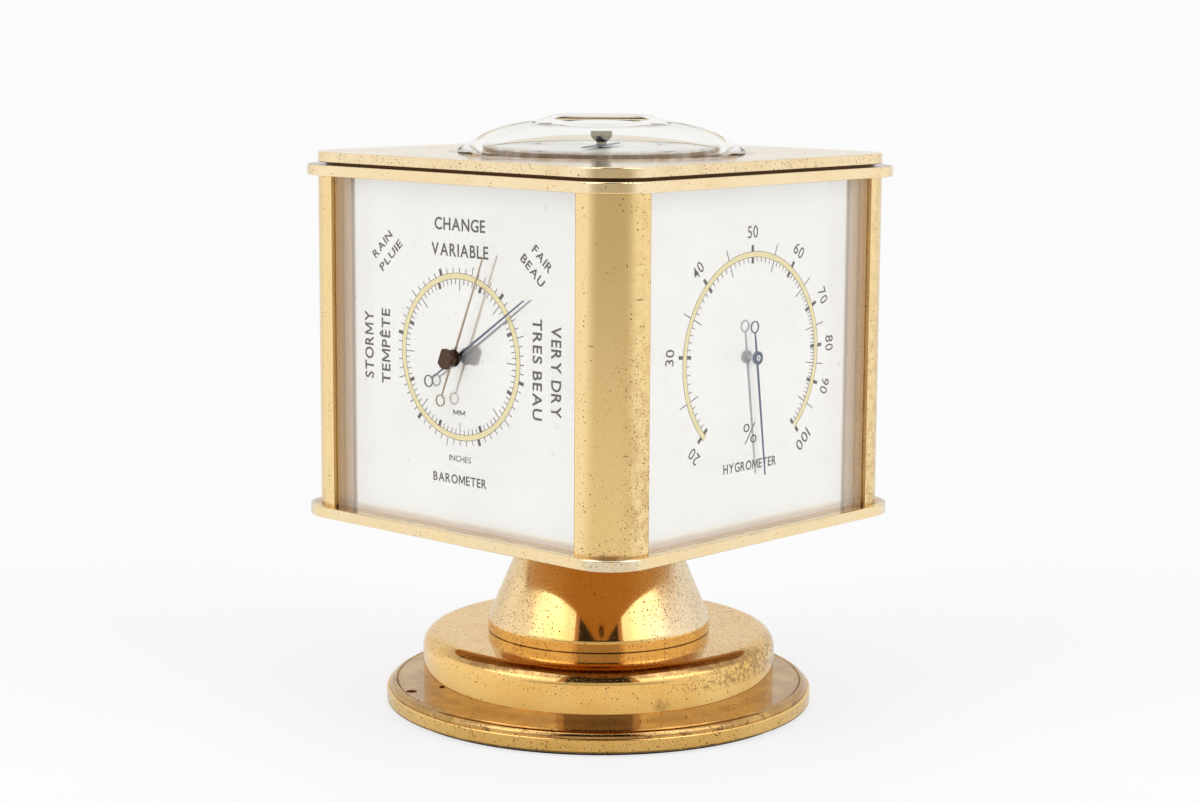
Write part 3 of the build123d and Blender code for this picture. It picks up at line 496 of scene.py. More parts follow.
def rim_stained(where):
    """Brown in the groove, on the bead and round the disc's foot, tarnish between, and in the hole."""
    reach = radius_of(where)
    line = most(band(reach, 44.35, 44.55, 0.35), times(band(reach, 44.9, 45.9, 0.6), 0.80),
                times(band(reach, 38.6, 38.9, 0.5), 0.5), times(band(reach, 38.9, 44.3, 0.4), 0.85))
    hole = fade(away_from(where, hole_x, hole_y, 3.7), 1.8, 1.9, 0.45, 0.0)
    return most(times(line, ramp(noise(where, 160, 4), 0.30, 0.62, 0.62, 1.0)), hole)


def rim_dirty(where):
    """Black line where the rim meets the felt, and flecks of old polish along the bead and the groove."""
    cloud = noise(where, 420, 5, Roughness=0.7)
    flecks = times(band(radius_of(where), 44.2, 46.0, 0.3), ramp(cloud, 0.58, 0.66), 0.7)
    foot = times(fade(height_of(where), 0.95, 1.4, 0.9, 0.0), ramp(cloud, 0.3, 0.5, 0.6, 1.0))
    return most(flecks, foot)


flange = swept("base_flange_turned", [
    (bolt_head_bore, flange_foot), (flange_radius, flange_foot, 0.25), (flange_radius, bead_foot, 0.3),
    (bead_radius, bead_foot, 0.05), (bead_radius, flange_top, bead_round), (groove_out, flange_top, 0.02),
    (groove_middle, groove_foot), (groove_in, flange_top, 0.02), (bolt_bore, flange_top),
    (bolt_bore, bolt_head_top), (bolt_head_bore, bolt_head_top)], circle)
hole_outline = [((hole_x + x) * mm, (hole_y + y) * mm) for x, y, z in circle(hole_radius, 0, 32)]
cut_by(flange, prism("drill", hole_outline, hole_foot * mm, (flange_top + 0.9) * mm))
flange.data.set_sharp_from_angle(angle=crease)
dress(flange, "base", lacquered_brass(
    "brass_flange", deep_gold, coverage=0.75, spot=0.0005, patch=0.010,
    pitted=rim_pitted, stain_and_shade=rim_stained, darkened=rim_dirty), "base_flange")

disc_radius, disc_top, disc_round, disc_wall = 38.7, 16.1, 3.6, 1.2


def signed_across(where):
    """Distance to the right of the line from the front post to the rear one, less than 0 to its left."""
    return vector("DOT_PRODUCT", where, (cos(pi / 4), sin(pi / 4), 0))


def frontwards(where):
    """x less y: more towards the front post, less than 0 towards the rear one."""
    place = parts_of(where)
    return maths("SUBTRACT", place["X"], place["Y"])


def disc_pitted(where):
    """Denser on the shoulder, most at its right."""
    side = signed_across(where)
    shoulder = times(band(height_of(where), 11.2, 16.2, 1.2), fade(side, 5, 26, 0.50, 1.3))
    return maths("ADD", shoulder, fade(side, 10, 30, 0.14, 0.40))


def disc_stained(where):
    """Smudge low on the wall, dirt at its foot, tarnish in front on the shoulder, mottle at the right."""
    height = height_of(where)
    cloud = noise(where, 700, 3)
    smudge = times(fade(away_from(where, 34.5, -18.0, 7.8), 1.0, 2.6, 0.42, 0.0), ramp(cloud, 0.40, 0.5))
    foot = times(fade(height, 5.2, 6.1, 0.45, 0.0), cloud)
    tarnish = times(band(height, 14.3, 15.7, 0.3), fade(frontwards(where), 18, 38, 0.03, 1.0),
                    ramp(cloud, 0.3, 0.65, 0.65, 1.0))
    mottle = times(fade(signed_across(where), 12, 32), band(height, 10.8, 14.6, 1.6),
                   ramp(cloud, 0.44, 0.58, 0.05, 0.75))
    return most(smudge, foot, tarnish, mottle)


disc = swept("step_disc_spun", [
    (disc_radius - disc_wall, flange_top), (disc_radius, flange_top), (disc_radius, disc_top, disc_round),
    (bolt_bore, disc_top, 0.1), (bolt_bore, disc_top - disc_wall),
    (disc_radius - disc_wall, disc_top - disc_wall, disc_round - disc_wall)], circle)
dress(disc, "base", lacquered_brass(
    "brass_disc", deep_gold, coverage=0.95, spot=0.00042, patch=0.008,
    pitted=disc_pitted, stain_and_shade=disc_stained), "step_disc")

felt, shader, where = new_finish("baize")
fibres = noise(where, 2600, 5, Distortion=1.5)
pile = maths("ADD", fibres, noise(where, 260, 3))
tone = blend(ramp(fibres, 0.3, 0.7), (0.012, 0.013, 0.012), (0.060, 0.062, 0.058))
feed(shader, {"Base Color": tone, "Roughness": 0.95, "Sheen Weight": 0.3,
              "Normal": bumped(pile, 0.7, 0.0002)})


def plain_metal(name, colour, other, rough, grain=2200.0, metallic=1.0, bright=None):
    """Metal that isn't lacquered: two close shades and a fine grain, and bare metal where bright says."""
    finish, shader, where = new_finish(name)
    marks = lines_at(where, 1.0 / grain)
    shade = blend(ramp(marks["Cloud"], 0.35, 0.68), colour, other)
    if bright:
        shade = blend(bright(where), shade, (0.86, 0.85, 0.82))
    feed(shader, {"Base Color": shade, "Metallic": metallic, "Normal": bumped(marks["Lines"], 0.2),
                  "Roughness": ramp(marks["Lines"], 0.25, 0.75, rough * 0.75, rough * 1.35, "LINEAR")})
    return finish


def refinish(finish, *names):
    """Put one finish on nodes of the frame that keep their own shape."""
    for name in names:
        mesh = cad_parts[name].data
        mesh.materials.clear()
        mesh.materials.append(finish)


bright_steel = plain_metal("bright_steel", (0.56, 0.57, 0.58), (0.44, 0.44, 0.45), 0.26)
spring_steel = plain_metal("spring_steel", (0.42, 0.43, 0.46), (0.30, 0.31, 0.34), 0.34)
cast_iron = plain_metal("cast_iron", (0.070, 0.068, 0.066), (0.040, 0.039, 0.038), 0.62, 900.0, 0.85)
refinish(felt, "foot_pad")
refinish(cast_iron, "base_weight")
refinish(bright_steel, "base_screws", "pivot_bolt", "pivot_nut")
refinish(spring_steel, "spring_washer")


# Pedestal and bottom plate
# A spun brass cone that turns on the base's bolt, and the square plate screwed to its lip. The plate's
# lacquer is rubbed to a silvery cream along its edge and at its corners.

cone_foot, cone_mouth, cone_bore, cone_wall = 24.4, 14.4, 8.0, 1.8
cone_floor, cone_lip, cone_knee = 16.3, 16.17, 18.5
cone_lean = atan2(10.0, 23.45)
cone_skin = 1.4 / cos(cone_lean)
plate_under, plate_top, plate_half, plate_corner, plate_flat = 42.05, 44.4, 47.5, 10.0, 40.0


def cone_pitted(where):
    """Thick on both flanks, thin below the front post."""
    return fade(maths("ABSOLUTE", signed_across(where)), 4, 13, 0.12, 1.0)


def cone_hazy(where):
    """Rubbed dull on both flanks, the right one more."""
    side = signed_across(where)
    return times(most(fade(side, 8, 18), fade(side, -20, -10, 0.55, 0.0)), fade(height_of(where), 18.2, 18.8))


def cone_stained(where):
    """Brown dirt at the foot's edge, a slightly browner band round the foot, and painted shade at the top,
    darker towards the plate above.
    """
    height = height_of(where)
    # The last term is painted shade, darkening the cone towards the plate above it.
    darkening = most(fade(height, 16.25, 16.4, 0.7, 0.0), fade(height, 18.2, 18.6, 0.04, 0.0),
                fade(height, 40.5, 42.0, 0.0, 0.5))
    return times(darkening, ramp(noise(where, 350, 4), 0.3, 0.6, 0.6, 1.3))


cone = swept("pedestal_cone_spun", [
    (bolt_bore, cone_floor), (22.0, cone_floor), (22.4, cone_lip), (cone_foot, cone_lip, 0.04),
    (cone_foot, cone_knee, 2.0), (cone_mouth, plate_under), (cone_bore, plate_under),
    (cone_bore, plate_under - cone_wall),
    (cone_mouth + cone_wall * tan(cone_lean) - cone_skin, plate_under - cone_wall),
    (cone_foot - cone_skin, cone_knee + 0.1), (cone_foot - cone_skin, cone_floor + cone_wall),
    (bolt_bore, cone_floor + cone_wall)], circle)
dress(cone, "head", lacquered_brass(
    "brass_cone", deep_gold, coverage=1.25, spot=0.00042,
    pitted=cone_pitted, stain_and_shade=cone_stained, hazy=cone_hazy), "pedestal_cone")
refinish(bright_steel, "pedestal_screws")

straight_steps = 14
corner_steps = 12


def square_ring(half, corner, height):
    """Outline of a square with round corners, from the middle of its right side."""
    made = []
    reach = half - corner
    for quarter in range(4):
        turn = quarter * pi / 2
        side = [(half, -reach + 2 * reach * k / straight_steps) for k in range(straight_steps)]
        angles = [pi / 2 * k / corner_steps for k in range(corner_steps)]
        for x, y in side + [(reach + corner * cos(a), reach + corner * sin(a)) for a in angles]:
            made.append((x * cos(turn) - y * sin(turn), x * sin(turn) + y * cos(turn), height))
    return made


def plate_ring(half, corner):
    """Ring maker for a plate: each inner ring keeps the same distance from the outline."""
    return lambda size, height: square_ring(size, max(corner - (half - size), 0.4), height)


def pressed_plate(name, under, top, upper_round):
    return swept(name, [(plate_flat, under), (plate_half, under, 0.3), (plate_half, top, upper_round),
                        (plate_flat, top)], plate_ring(plate_half, plate_corner), closed=False)


def side_reach(where):
    """Distance from the middle, square to the nearest side."""
    place = parts_of(where)
    return most(maths("ABSOLUTE", place["X"]), maths("ABSOLUTE", place["Y"]))


def edge_worn(where):
    """Rubbed along the outer edge, most at the corners."""
    across = side_reach(where)
    corner = times(fade(radius_of(where), 61.0, 62.2), fade(across, 44.0, 45.0), 0.95)
    rubbed = most(fade(across, 47.15, 47.35, 0.0, 0.38), corner)
    return times(rubbed, ramp(noise(where, 150, 6, Roughness=0.6), 0.30, 0.62, 0.45, 1.0))


def plate_stained(where):
    """Browned below, as tarnish and painted shade under the plate, and above in the strip between the pane
    and the dial.
    """
    height = height_of(where)
    strip = times(fade(height, 44.30, 44.36), fade(side_reach(where), 45.05, 45.15, 0.75, 0.0))
    # The whole underside is painted dark brown: painted shade as well as tarnish.
    return most(fade(height, 42.06, 42.12, 1.0, 0.0), strip)


def foot_lines_dirty(where):
    """Painted shade: a dark line in the corner round the foot of each post, and along the panes."""
    line = times(band(side_reach(where), 45.20, 45.75, 0.15), fade(height_of(where), 44.30, 44.36))
    return times(line, ramp(noise(where, 300, 4), 0.35, 0.65, 0.2, 0.8))


pale_gold = (0.890, 0.680, 0.355), (0.865, 0.640, 0.300)
# Along the posts' feet and the panes this plate carries painted shade.
dress(pressed_plate("bottom_plate_pressed", plate_under, plate_top, 0.3), "head", lacquered_brass(
    "brass_bottom_plate", pale_gold, coverage=0.5, worn=edge_worn, stain_and_shade=plate_stained,
    darkened=foot_lines_dirty, stain_and_shade_colour=(0.470, 0.225, 0.065)), "bottom_plate")


# Screws under the bottom plate
# Four slotted brass screws, sunk flush with the plate, one into the foot of each post. Each was
# tightened by hand, so no two slots point the same way.

post_axis = 40.6
top_plate_under, top_plate_top = 115.7, 118.0


def countersunk_screw(name, radius, length):
    """Screw along +Z whose slotted flat head lies flush with z = 0."""
    head, sunk = 1.75 * radius, 0.8 * radius
    section = [(radius, length), (radius, sunk), (head, 0)]
    screw = swept(name, section, lambda r, z: circle(r, z, 36), closed=False)
    x, y, depth = 2 * head * mm, 0.175 * radius * mm, 0.45 * radius * mm
    cut_by(screw, prism("slot", [(-x, -y), (x, -y), (x, y), (-x, y)], -mm, depth))
    return screw


def set_on_points(given, result, shape, **values):
    """End a tree: the shape set on each point, made real and given its finish."""
    tree = result.id_data
    inputs = {"Points": given["Geometry"], "Instance": shape, **values}
    placed = add(tree, "GeometryNodeInstanceOnPoints", inputs).outputs[0]
    whole = add(tree, "GeometryNodeRealizeInstances", {0: placed}).outputs[0]
    inputs = {"Geometry": whole, "Material": given["Finish"]}
    feed(result, {0: add(tree, "GeometryNodeSetMaterial", inputs).outputs[0]})


def grown(name, mesh, tree, values):
    """Piece that a tree grows on the points of a mesh."""
    piece = new_object(name, mesh)
    modifier = piece.modifiers.new("grow", "NODES")
    modifier.node_group = tree
    sockets = {item.name: item.identifier for item in tree.interface.items_tree if item.in_out == "INPUT"}
    for key, value in values.items():
        modifier[sockets[key]] = value
    return settled(piece)


screw_rows, given, result = new_group(
    "Set Screws", "Geometry", {"Geometry": "Geometry", "Screw": "Object", "Tip Over": "Float", "Seed": "Int",
                               "Finish": "Material"}, {"Geometry": "Geometry"})
screw_shape = add(screw_rows, "GeometryNodeObjectInfo", {"Object": given["Screw"]}).outputs["Geometry"]
turns = {2: 0.0, 3: 2 * pi, "Seed": given["Seed"]}
any_turn = add(screw_rows, "FunctionNodeRandomValue", turns, data_type="FLOAT").outputs[1]
screw_turn = add(screw_rows, "ShaderNodeCombineXYZ", {"X": given["Tip Over"], "Z": any_turn}).outputs[0]
set_on_points(given, result, screw_shape, Rotation=screw_turn)

post_screw = countersunk_screw("post_screw", 1.5, 10.0)
screw_brass = lacquered_brass("brass_screws", pale_gold, coverage=0.5, spot=0.0003)
for name, height, tip_over, seed, finish, slot in (
        ("bottom_post_screws", plate_under, 0.0, 4, screw_brass, "lacquered_brass"),
        ("top_post_screws", top_plate_top, pi, 7, bright_steel, "steel")):
    places = new_mesh(name + "_places", [(x * post_axis * mm, y * post_axis * mm, height * mm)
                                         for x, y in ((1, 1), (-1, 1), (-1, -1), (1, -1))])
    set_screws = grown(name + "_set", places, screw_rows,
                       {"Screw": post_screw, "Tip Over": tip_over, "Seed": seed, "Finish": finish})
    set_screws.data.set_sharp_from_angle(angle=crease)
    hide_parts(name)
    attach(set_screws, "head")
bpy.data.objects.remove(post_screw)


# Corner posts
# Four drawn brass sections, nearly a quarter round outside, with grooves inside that hold the panes
# and the dials. The lacquer is pitted most on the sides and towards the bottom.

post_inner, post_flat, post_round, post_steps = 35.4, 45.8, 9.9, 28
dial_groove, pane_groove, groove_depth = (41.035, 42.085), (44.325, 45.275), 1.0


def post_section():
    """Outline of the post at +x +y, from its inner corner."""
    grooved = []
    for low, high in (dial_groove, pane_groove):
        floor = post_inner + groove_depth
        grooved += [(low, post_inner), (low, floor), (high, floor), (high, post_inner)]
    centre = post_flat - post_round
    angles = [pi / 2 * k / post_steps for k in range(post_steps + 1)]
    return ([(post_inner, post_inner)] + grooved + [(post_flat, post_inner)]
            + [(centre + post_round * cos(a), centre + post_round * sin(a)) for a in angles]
            + [(post_inner, post_flat)] + [(y, x) for x, y in reversed(grooved)])


def drawn_post(name, turn):
    outline = [((x * cos(turn) - y * sin(turn)) * mm, (x * sin(turn) + y * cos(turn)) * mm)
               for x, y in post_section()]
    return finished(name, prism(name, outline, plate_top * mm, top_plate_under * mm))


def rightwards(where):
    """Sum of x and y, more towards the right post."""
    place = parts_of(where)
    return maths("ADD", place["X"], place["Y"])


def post_pitted(where):
    """More towards the foot, and on the side of each post that is to the camera's right."""
    height = height_of(where)
    across = rightwards(where)
    sides = most(fade(across, 0.8, 6.2, 0.10, 1.0), fade(across, -7.8, -6.0, 0.35, 0.0))
    return most(times(fade(height, 45, 105, 1.0, 0.38), sides), fade(height, 44.5, 53.0, 0.75, 0.0))


def post_stained(where):
    """Dirt at the ends where polish never reached, brown inner faces, and mottle low on the right side."""
    height = height_of(where)
    cloud = noise(where, 420, 4)
    ends = most(fade(height, 44.4, 45.6, 0.6, 0.0), fade(height, 115.2, 115.7, 0.0, 0.5))
    place = parts_of(where)
    nearer = maths("MINIMUM", maths("ABSOLUTE", place["X"]), maths("ABSOLUTE", place["Y"]))
    inside = fade(nearer, post_inner + 0.08, post_inner + 0.16, 0.90, 0.0)
    mottle = times(fade(rightwards(where), 2.0, 7.5, 0.0, 0.42), fade(height, 50, 100, 1.0, 0.35),
                   ramp(cloud, 0.42, 0.62))
    return most(times(ends, ramp(cloud, 0.35, 0.6)), inside, mottle)


def post_scratched(where):
    """Three short marks across the front post, kept flat by a stretched height."""
    stretch = 5
    tall = vector("MULTIPLY", where, (1, 1, stretch))
    scratches = ((45.5, -38.3, 95.1, 1.3), (39.2, -45.2, 86.1, 0.9), (44.5, -40.8, 64.6, 0.9))
    return most(*[fade(away_from(tall, x, y, stretch * z), length * 0.4, length, 0.60, 0.0)
                  for x, y, z, length in scratches])


post_brass = lacquered_brass(
    "brass_posts", pale_gold, coverage=1.0, patch=0.009, lines=(1, 1, 0.06), rough=0.17,
    pitted=post_pitted, stain_and_shade=post_stained, darkened=post_scratched, stain_and_shade_colour=(0.500, 0.285, 0.115))
for quarter, corner in enumerate(("right", "rear", "left", "front")):
    post = drawn_post("post_" + corner + "_drawn", quarter * pi / 2)
    dress(post, "head", post_brass, "corner_post_" + corner)


# Top plate and lid
# Two pressed brass squares, the lid a little smaller and standing on a step, so a thin dark line runs
# between them, deepened with painted shade. The lid has a shallow round seat for the compass.

step_half, step_top = 44.5, 118.5
lid_half, lid_corner, lid_top = 46.1, 10.8, 120.7
seat_radius, seat_floor = 30.95, 120.4


def lid_ring(size, height):
    """Round inside the crystal's seat, square with round corners outside it."""
    if size > 31:
        return plate_ring(lid_half, lid_corner)(size, height)
    return [(size * x / hypot(x, y), size * y / hypot(x, y), z)
            for x, y, z in square_ring(lid_half, lid_corner, height)]


def fingered(where):
    """1 on the side by the front post, which hands touch most, fading towards the rear post."""
    return fade(frontwards(where), -22, 8, 0.08, 1.0)


def lid_stained(where):
    """A dirty line round the crystal's foot, tarnish in its seat and dull patches on the lid."""
    reach = radius_of(where)
    cloud = noise(where, 300, 5)
    line = times(band(reach, 30.8, 32.4, 1.2), fingered(where))
    seat = times(fade(height_of(where), 120.50, 120.60, 0.15, 0.0), fade(reach, 31.00, 31.05, 1.0, 0.0))
    darkening = times(most(line, seat), ramp(cloud, 0.30, 0.6, 0.45, 1.0))
    return most(darkening, ramp(cloud, 0.40, 0.70, 0.02, 0.12))


def gap_dirty(where):
    """Painted shade: near black in the gap between the lid and the plate."""
    return band(height_of(where), top_plate_top - 0.02, step_top + 0.01, 0.03)


worn_gold = (0.895, 0.735, 0.485), (0.870, 0.690, 0.420)
top_plate = pressed_plate("top_plate_pressed", top_plate_under, top_plate_top, 0.35)
lid = swept("lid_pressed", [
    (plate_flat, top_plate_top), (step_half, top_plate_top), (step_half, step_top),
    (lid_half, step_top, 0.15), (lid_half, lid_top, 0.35), (plate_flat, lid_top), (seat_radius, lid_top),
    (seat_radius, seat_floor), (20.0, seat_floor)], lid_ring, closed=False)
dress(top_plate, "head", lacquered_brass(
    "brass_top_plate", worn_gold, coverage=0.35, rough=0.11, darkened=gap_dirty), "top_plate")
dress(lid, "head", lacquered_brass(
    "brass_lid", worn_gold, rough=0.11, stain_and_shade=lid_stained, darkened=gap_dirty), "lid")


# Dials
# Four squares of silvered sheet brushed from side to side under clear lacquer, slid into the inner
# grooves of the posts. The printing is a warm grey, with a cream band along each scale.

silvered, shader, where = new_finish("silvered_dial")
brushed = lines_at(vector("MULTIPLY", where, (0.03, 0.03, 1)), 0.00009)["Lines"]
dust = pits_at(where, 0.0011, 0.025, 0.02)["Spots"]
tone = blend(ramp(brushed, 0.3, 0.7), (0.950, 0.928, 0.902), (0.930, 0.905, 0.876))
feed(shader, {"Base Color": blend(times(dust, 0.5), tone, (0.55, 0.50, 0.44)), "Metallic": 0.7,
              "Roughness": ramp(brushed, 0.3, 0.7, 0.09, 0.15, "LINEAR"), "Coat Weight": 0.7,
              "Coat Roughness": 0.05, "Normal": bumped(brushed, 0.03, 0.00001)})
refinish(silvered, "barometer_dial", "hygrometer_dial", "thermometer_dial", "clock_dial")


def printed(name, colour, faded, rough=0.55):
    """Screen-printed colour, thinner in places."""
    finish, shader, where = new_finish(name)
    thin = noise(where, 1500, 4)
    feed(shader, {"Base Color": blend(ramp(thin, 0.35, 0.75), colour, faded),
                  "Roughness": ramp(thin, 0.3, 0.7, rough * 0.85, rough * 1.1, "LINEAR")})
    return finish


grey_ink = printed("grey_ink", (0.052, 0.042, 0.038), (0.090, 0.078, 0.070))
cream_ink = printed("cream_ink", (0.890, 0.745, 0.370), (0.900, 0.790, 0.470), 0.45)

dial_centre, dial_front = 80.05, 42.06
ink_lift = 0.02
fine, thin, heavy, bold = 0.1, 0.18, 0.6, 0.75


def on_face(turn, lift=ink_lift):
    """Matrix that carries a drawing (x right, y up, in millimetres) to one side of the head."""
    return (Matrix.Rotation(radians(turn), 4, "Z")
            @ Matrix.Translation((0, -(dial_front + lift) * mm, dial_centre * mm))
            @ Matrix.Rotation(radians(90), 4, "X") @ Matrix.Scale(mm, 4))


scale_marks, given, result = new_group(
    "Scale Marks", "Geometry", {"Geometry": "Geometry", "Finish": "Material"}, {"Geometry": "Geometry"})


def stored(name):
    node = add(scale_marks, "GeometryNodeInputNamedAttribute", {"Name": name}, data_type="FLOAT")
    return node.outputs[0]


unit = {"Size X": 1.0, "Size Y": 1.0, "Vertices X": 2, "Vertices Y": 2}
square = add(scale_marks, "GeometryNodeMeshGrid", unit)
mark = add(scale_marks, "GeometryNodeTransform", {"Geometry": square.outputs[0], "Translation": (0, 0.5, 0)})
spun_to = add(scale_marks, "ShaderNodeCombineXYZ", {"Z": stored("turn")}).outputs[0]
sizes = {"X": stored("stroke"), "Y": stored("reach"), "Z": 1.0}
sized = add(scale_marks, "ShaderNodeCombineXYZ", sizes).outputs[0]
set_on_points(given, result, mark.outputs[0], Rotation=spun_to, Scale=sized)


def printed_marks(name, marks, place):
    """Marks of (angle clockwise from the top, inner radius, outer radius, width)."""
    feet = [(low * sin(radians(a)), low * cos(radians(a)), 0) for a, low, high, width in marks]
    mesh = new_mesh(name, feet)
    for key, values in (("turn", [-radians(m[0]) for m in marks]), ("stroke", [m[3] for m in marks]),
                        ("reach", [m[2] - m[1] for m in marks])):
        mesh.attributes.new(key, "FLOAT", "POINT").data.foreach_set("value", values)
    piece = grown(name, mesh, scale_marks, {"Finish": grey_ink})
    piece.data.transform(place)
    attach(piece, "head")


def printed_shape(name, points, faces, place, finish=grey_ink):
    mesh = new_mesh(name, points, faces)
    mesh.transform(place)
    dress(new_object(name, mesh), "head", finish)


def printed_arc(name, inner, outer, start, end, place, finish=grey_ink):
    """Flat band between two radii, from start to end clockwise from the top."""
    steps = max(8, round((end - start) / 2.5))
    turns = [radians(start + (end - start) * k / steps) for k in range(steps + 1)]
    points = [(r * sin(a), r * cos(a), 0) for a in turns for r in (inner, outer)]
    faces = [(2 * k + 2, 2 * k + 3, 2 * k + 1, 2 * k) for k in range(steps)]
    printed_shape(name, points, faces, place, finish)


def scale_band(dial, inner, outer, start, end, turn):
    """Cream band between two fine grey lines, which take up the outermost parts of its width."""
    low, high = inner + fine, outer - fine
    printed_arc(dial + "_band", low, high, start, end, on_face(turn, ink_lift / 2), cream_ink)
    printed_arc(dial + "_line_in", inner, low, start, end, on_face(turn))
    printed_arc(dial + "_line_out", high, outer, start, end, on_face(turn))


def letter(sign, weight):
    """Corners and faces of one letter in the plain built-in face; a heavy M is drawn from listed corners."""
    if sign == "M" and weight > 0:
        thick, tall, wide, half, slope, notch = 0.75 + 2 * weight, 6.8 + weight, 7.4, 3.7, 1.45, 0.55
        corners = [(0, -weight), (thick, -weight), (thick, tall - 2.1), (half - notch, 0.9),
                   (half + notch, 0.9), (wide - thick, tall - 2.1), (wide - thick, -weight),
                   (wide, -weight), (wide, tall), (wide - slope, tall), (half, 2.5), (slope, tall), (0, tall)]
        return corners, [(0, 1, 2, 12), (2, 3, 10, 11), (2, 11, 12), (3, 4, 10), (4, 5, 9, 10), (5, 8, 9),
                         (5, 6, 7, 8)]
    shape = bpy.data.curves.new("letter", "FONT")
    shape.body = sign
    shape.size = 10.0
    shape.offset = weight
    shape.resolution_u = 4
    shape.fill_mode = "FRONT"
    holder = new_object("letter", shape)
    bpy.context.view_layer.update()
    mesh = bpy.data.meshes.new_from_object(holder.evaluated_get(bpy.context.evaluated_depsgraph_get()))
    bpy.data.objects.remove(holder)
    return [(v.co.x, v.co.y) for v in mesh.vertices], [tuple(p.vertices) for p in mesh.polygons]


capital = max(y for x, y in letter("H", 0.0)[0])
letter_gap, word_gap = 1.15, 2.9
small_print = 1.6


def spelled(text, weight):
    """Corners and faces of a word, its letters set side by side with even gaps."""
    points, faces, pen = [], [], 0.0
    for sign in text:
        if sign == " ":
            pen += word_gap
            continue
        corners, shapes = letter(sign, weight)
        left = min(x for x, y in corners)
        faces += [tuple(len(points) + i for i in shape) for shape in shapes]
        points += [(x - left + pen, y) for x, y in corners]
        pen += max(x for x, y in corners) - left + letter_gap
    return points, faces, pen - letter_gap


def printed_words(name, words, place, weight=0.18):
    """Words of (text, x, y of the baseline's middle, width, capital height, turn), joined in one mesh."""
    points, faces = [], []
    for text, x, y, width, tall, turn in words:
        corners, shapes, length = spelled(text, weight if tall > small_print else 0.4 * weight)
        spin = Matrix.Rotation(radians(turn), 2)
        faces += [tuple(len(points) + i for i in shape) for shape in shapes]
        for along, up in corners:
            flat = spin @ Vector(((along - length / 2) * width / length, up * tall / capital))
            points.append((flat.x + x, flat.y + y, 0))
    printed_shape(name, points, faces, place)


def ring_word(text, angle, radius, width, tall):
    """A number set on a circle with its top outwards."""
    low = radius - tall / 2
    return (text, low * sin(radians(angle)), low * cos(radians(angle)), width, tall, -angle)


# Barometer scales: inches outside the cream band, millimetres inside it
inner, outer = 16.05, 17.35
scale_band("barometer", inner, outer, 0, 360, 0)
marks = []
for k in range(60):
    high, width = (18.7, bold) if k % 10 == 0 else (19.2, thin) if k % 5 == 0 else (18.4, thin)
    marks.append((-18.1 + 6 * k, outer, high, width))
for k in range(80):
    low, width = (14.75, bold) if k % 10 == 5 else (13.6, thin) if k % 10 == 0 else (15.0, thin)
    marks.append((4.5 * k, low, inner, width))
printed_marks("barometer_marks", marks, on_face(0))
printed_words("barometer_words", [
    ("CHANGE", 0, 25.95, 14.7, 2.45, 0), ("VARIABLE", 0, 20.65, 16.55, 2.5, 0),
    ("RAIN", -22.65, 21.2, 7.3, 1.65, 44.5), ("PLUIE", -20.05, 19.05, 8.6, 1.65, 44.5),
    ("FAIR", 22.8, 21.1, 6.4, 1.75, -42.5), ("BEAU", 20.14, 18.65, 7.9, 1.75, -42.5),
    ("STORMY", -26.25, 0.25, 14.3, 2.5, 90), ("TEMPÊTE", -21.08, 0.35, 15.85, 2.45, 90),
    ("VERY DRY", 25.98, -0.5, 18.25, 2.6, -90), ("TRES BEAU", 20.85, -0.47, 20.4, 2.45, -90),
    ("MM", -0.25, -12.1, 3.5, 1.05, 0), ("INCHES", 0, -21.75, 6.4, 1.2, 0),
    ("BAROMETER", -0.15, -26.45, 15.7, 1.8, 0)], on_face(0))

# Hygrometer scale: open at the bottom, wide at low humidity and close at high
tens = [(20, -133.3), (30, -85.0), (40, -42.3), (50, -0.7), (60, 35.4), (70, 64.7), (80, 88.4), (90, 108.9),
        (100, 137.7)]
fives = [(25, -110.5), (35, -63.6), (45, -20.9), (55, 18.8), (65, 51.1), (75, 76.9), (85, 98.5), (95, 121.9)]
known = sorted(tens + fives)


def humidity_angle(value):
    for (low, first), (high, last) in zip(known, known[1:]):
        if low <= value <= high:
            return first + (last - first) * (value - low) / (high - low)


inner, outer = 20.65, 21.9
scale_band("hygrometer", inner, outer, -136.0, 137.7, 90)
marks = []
for value in range(20, 101):
    angle = humidity_angle(value)
    if value % 10 == 0:
        marks += [(angle, outer, 23.2, bold), (angle, 19.4, inner, bold)]
    elif value % 5 == 0:
        marks += [(angle, outer, 24.1, 0.2), (angle, 18.2, inner, 0.2)]
    else:
        marks.append((angle, 19.7, inner, thin))
printed_marks("hygrometer_marks", marks, on_face(90))
printed_words("hygrometer_words", [
    ring_word(str(value), angle - (2.5 if value == 20 else 0), 25.9, 4.9 if value == 100 else 3.3, 2.45)
    for value, angle in tens], on_face(90), weight=0.04)
printed_words("hygrometer_name", [("HYGROMETER", -0.2, -23.4, 17.2, 1.9, 0)], on_face(90))
printed_words("percent_sign", [("%", -0.35, -17.95, 4.3, 4.3, 0)], on_face(90), weight=-0.1)

# Thermometer scale: Celsius outside the band, Fahrenheit inside it
inner, outer = 18.85, 20.1
top_degree, degree = 15, 270.0 / 70


def fahrenheit_angle(value):
    return ((value - 32) / 1.8 - top_degree) * degree


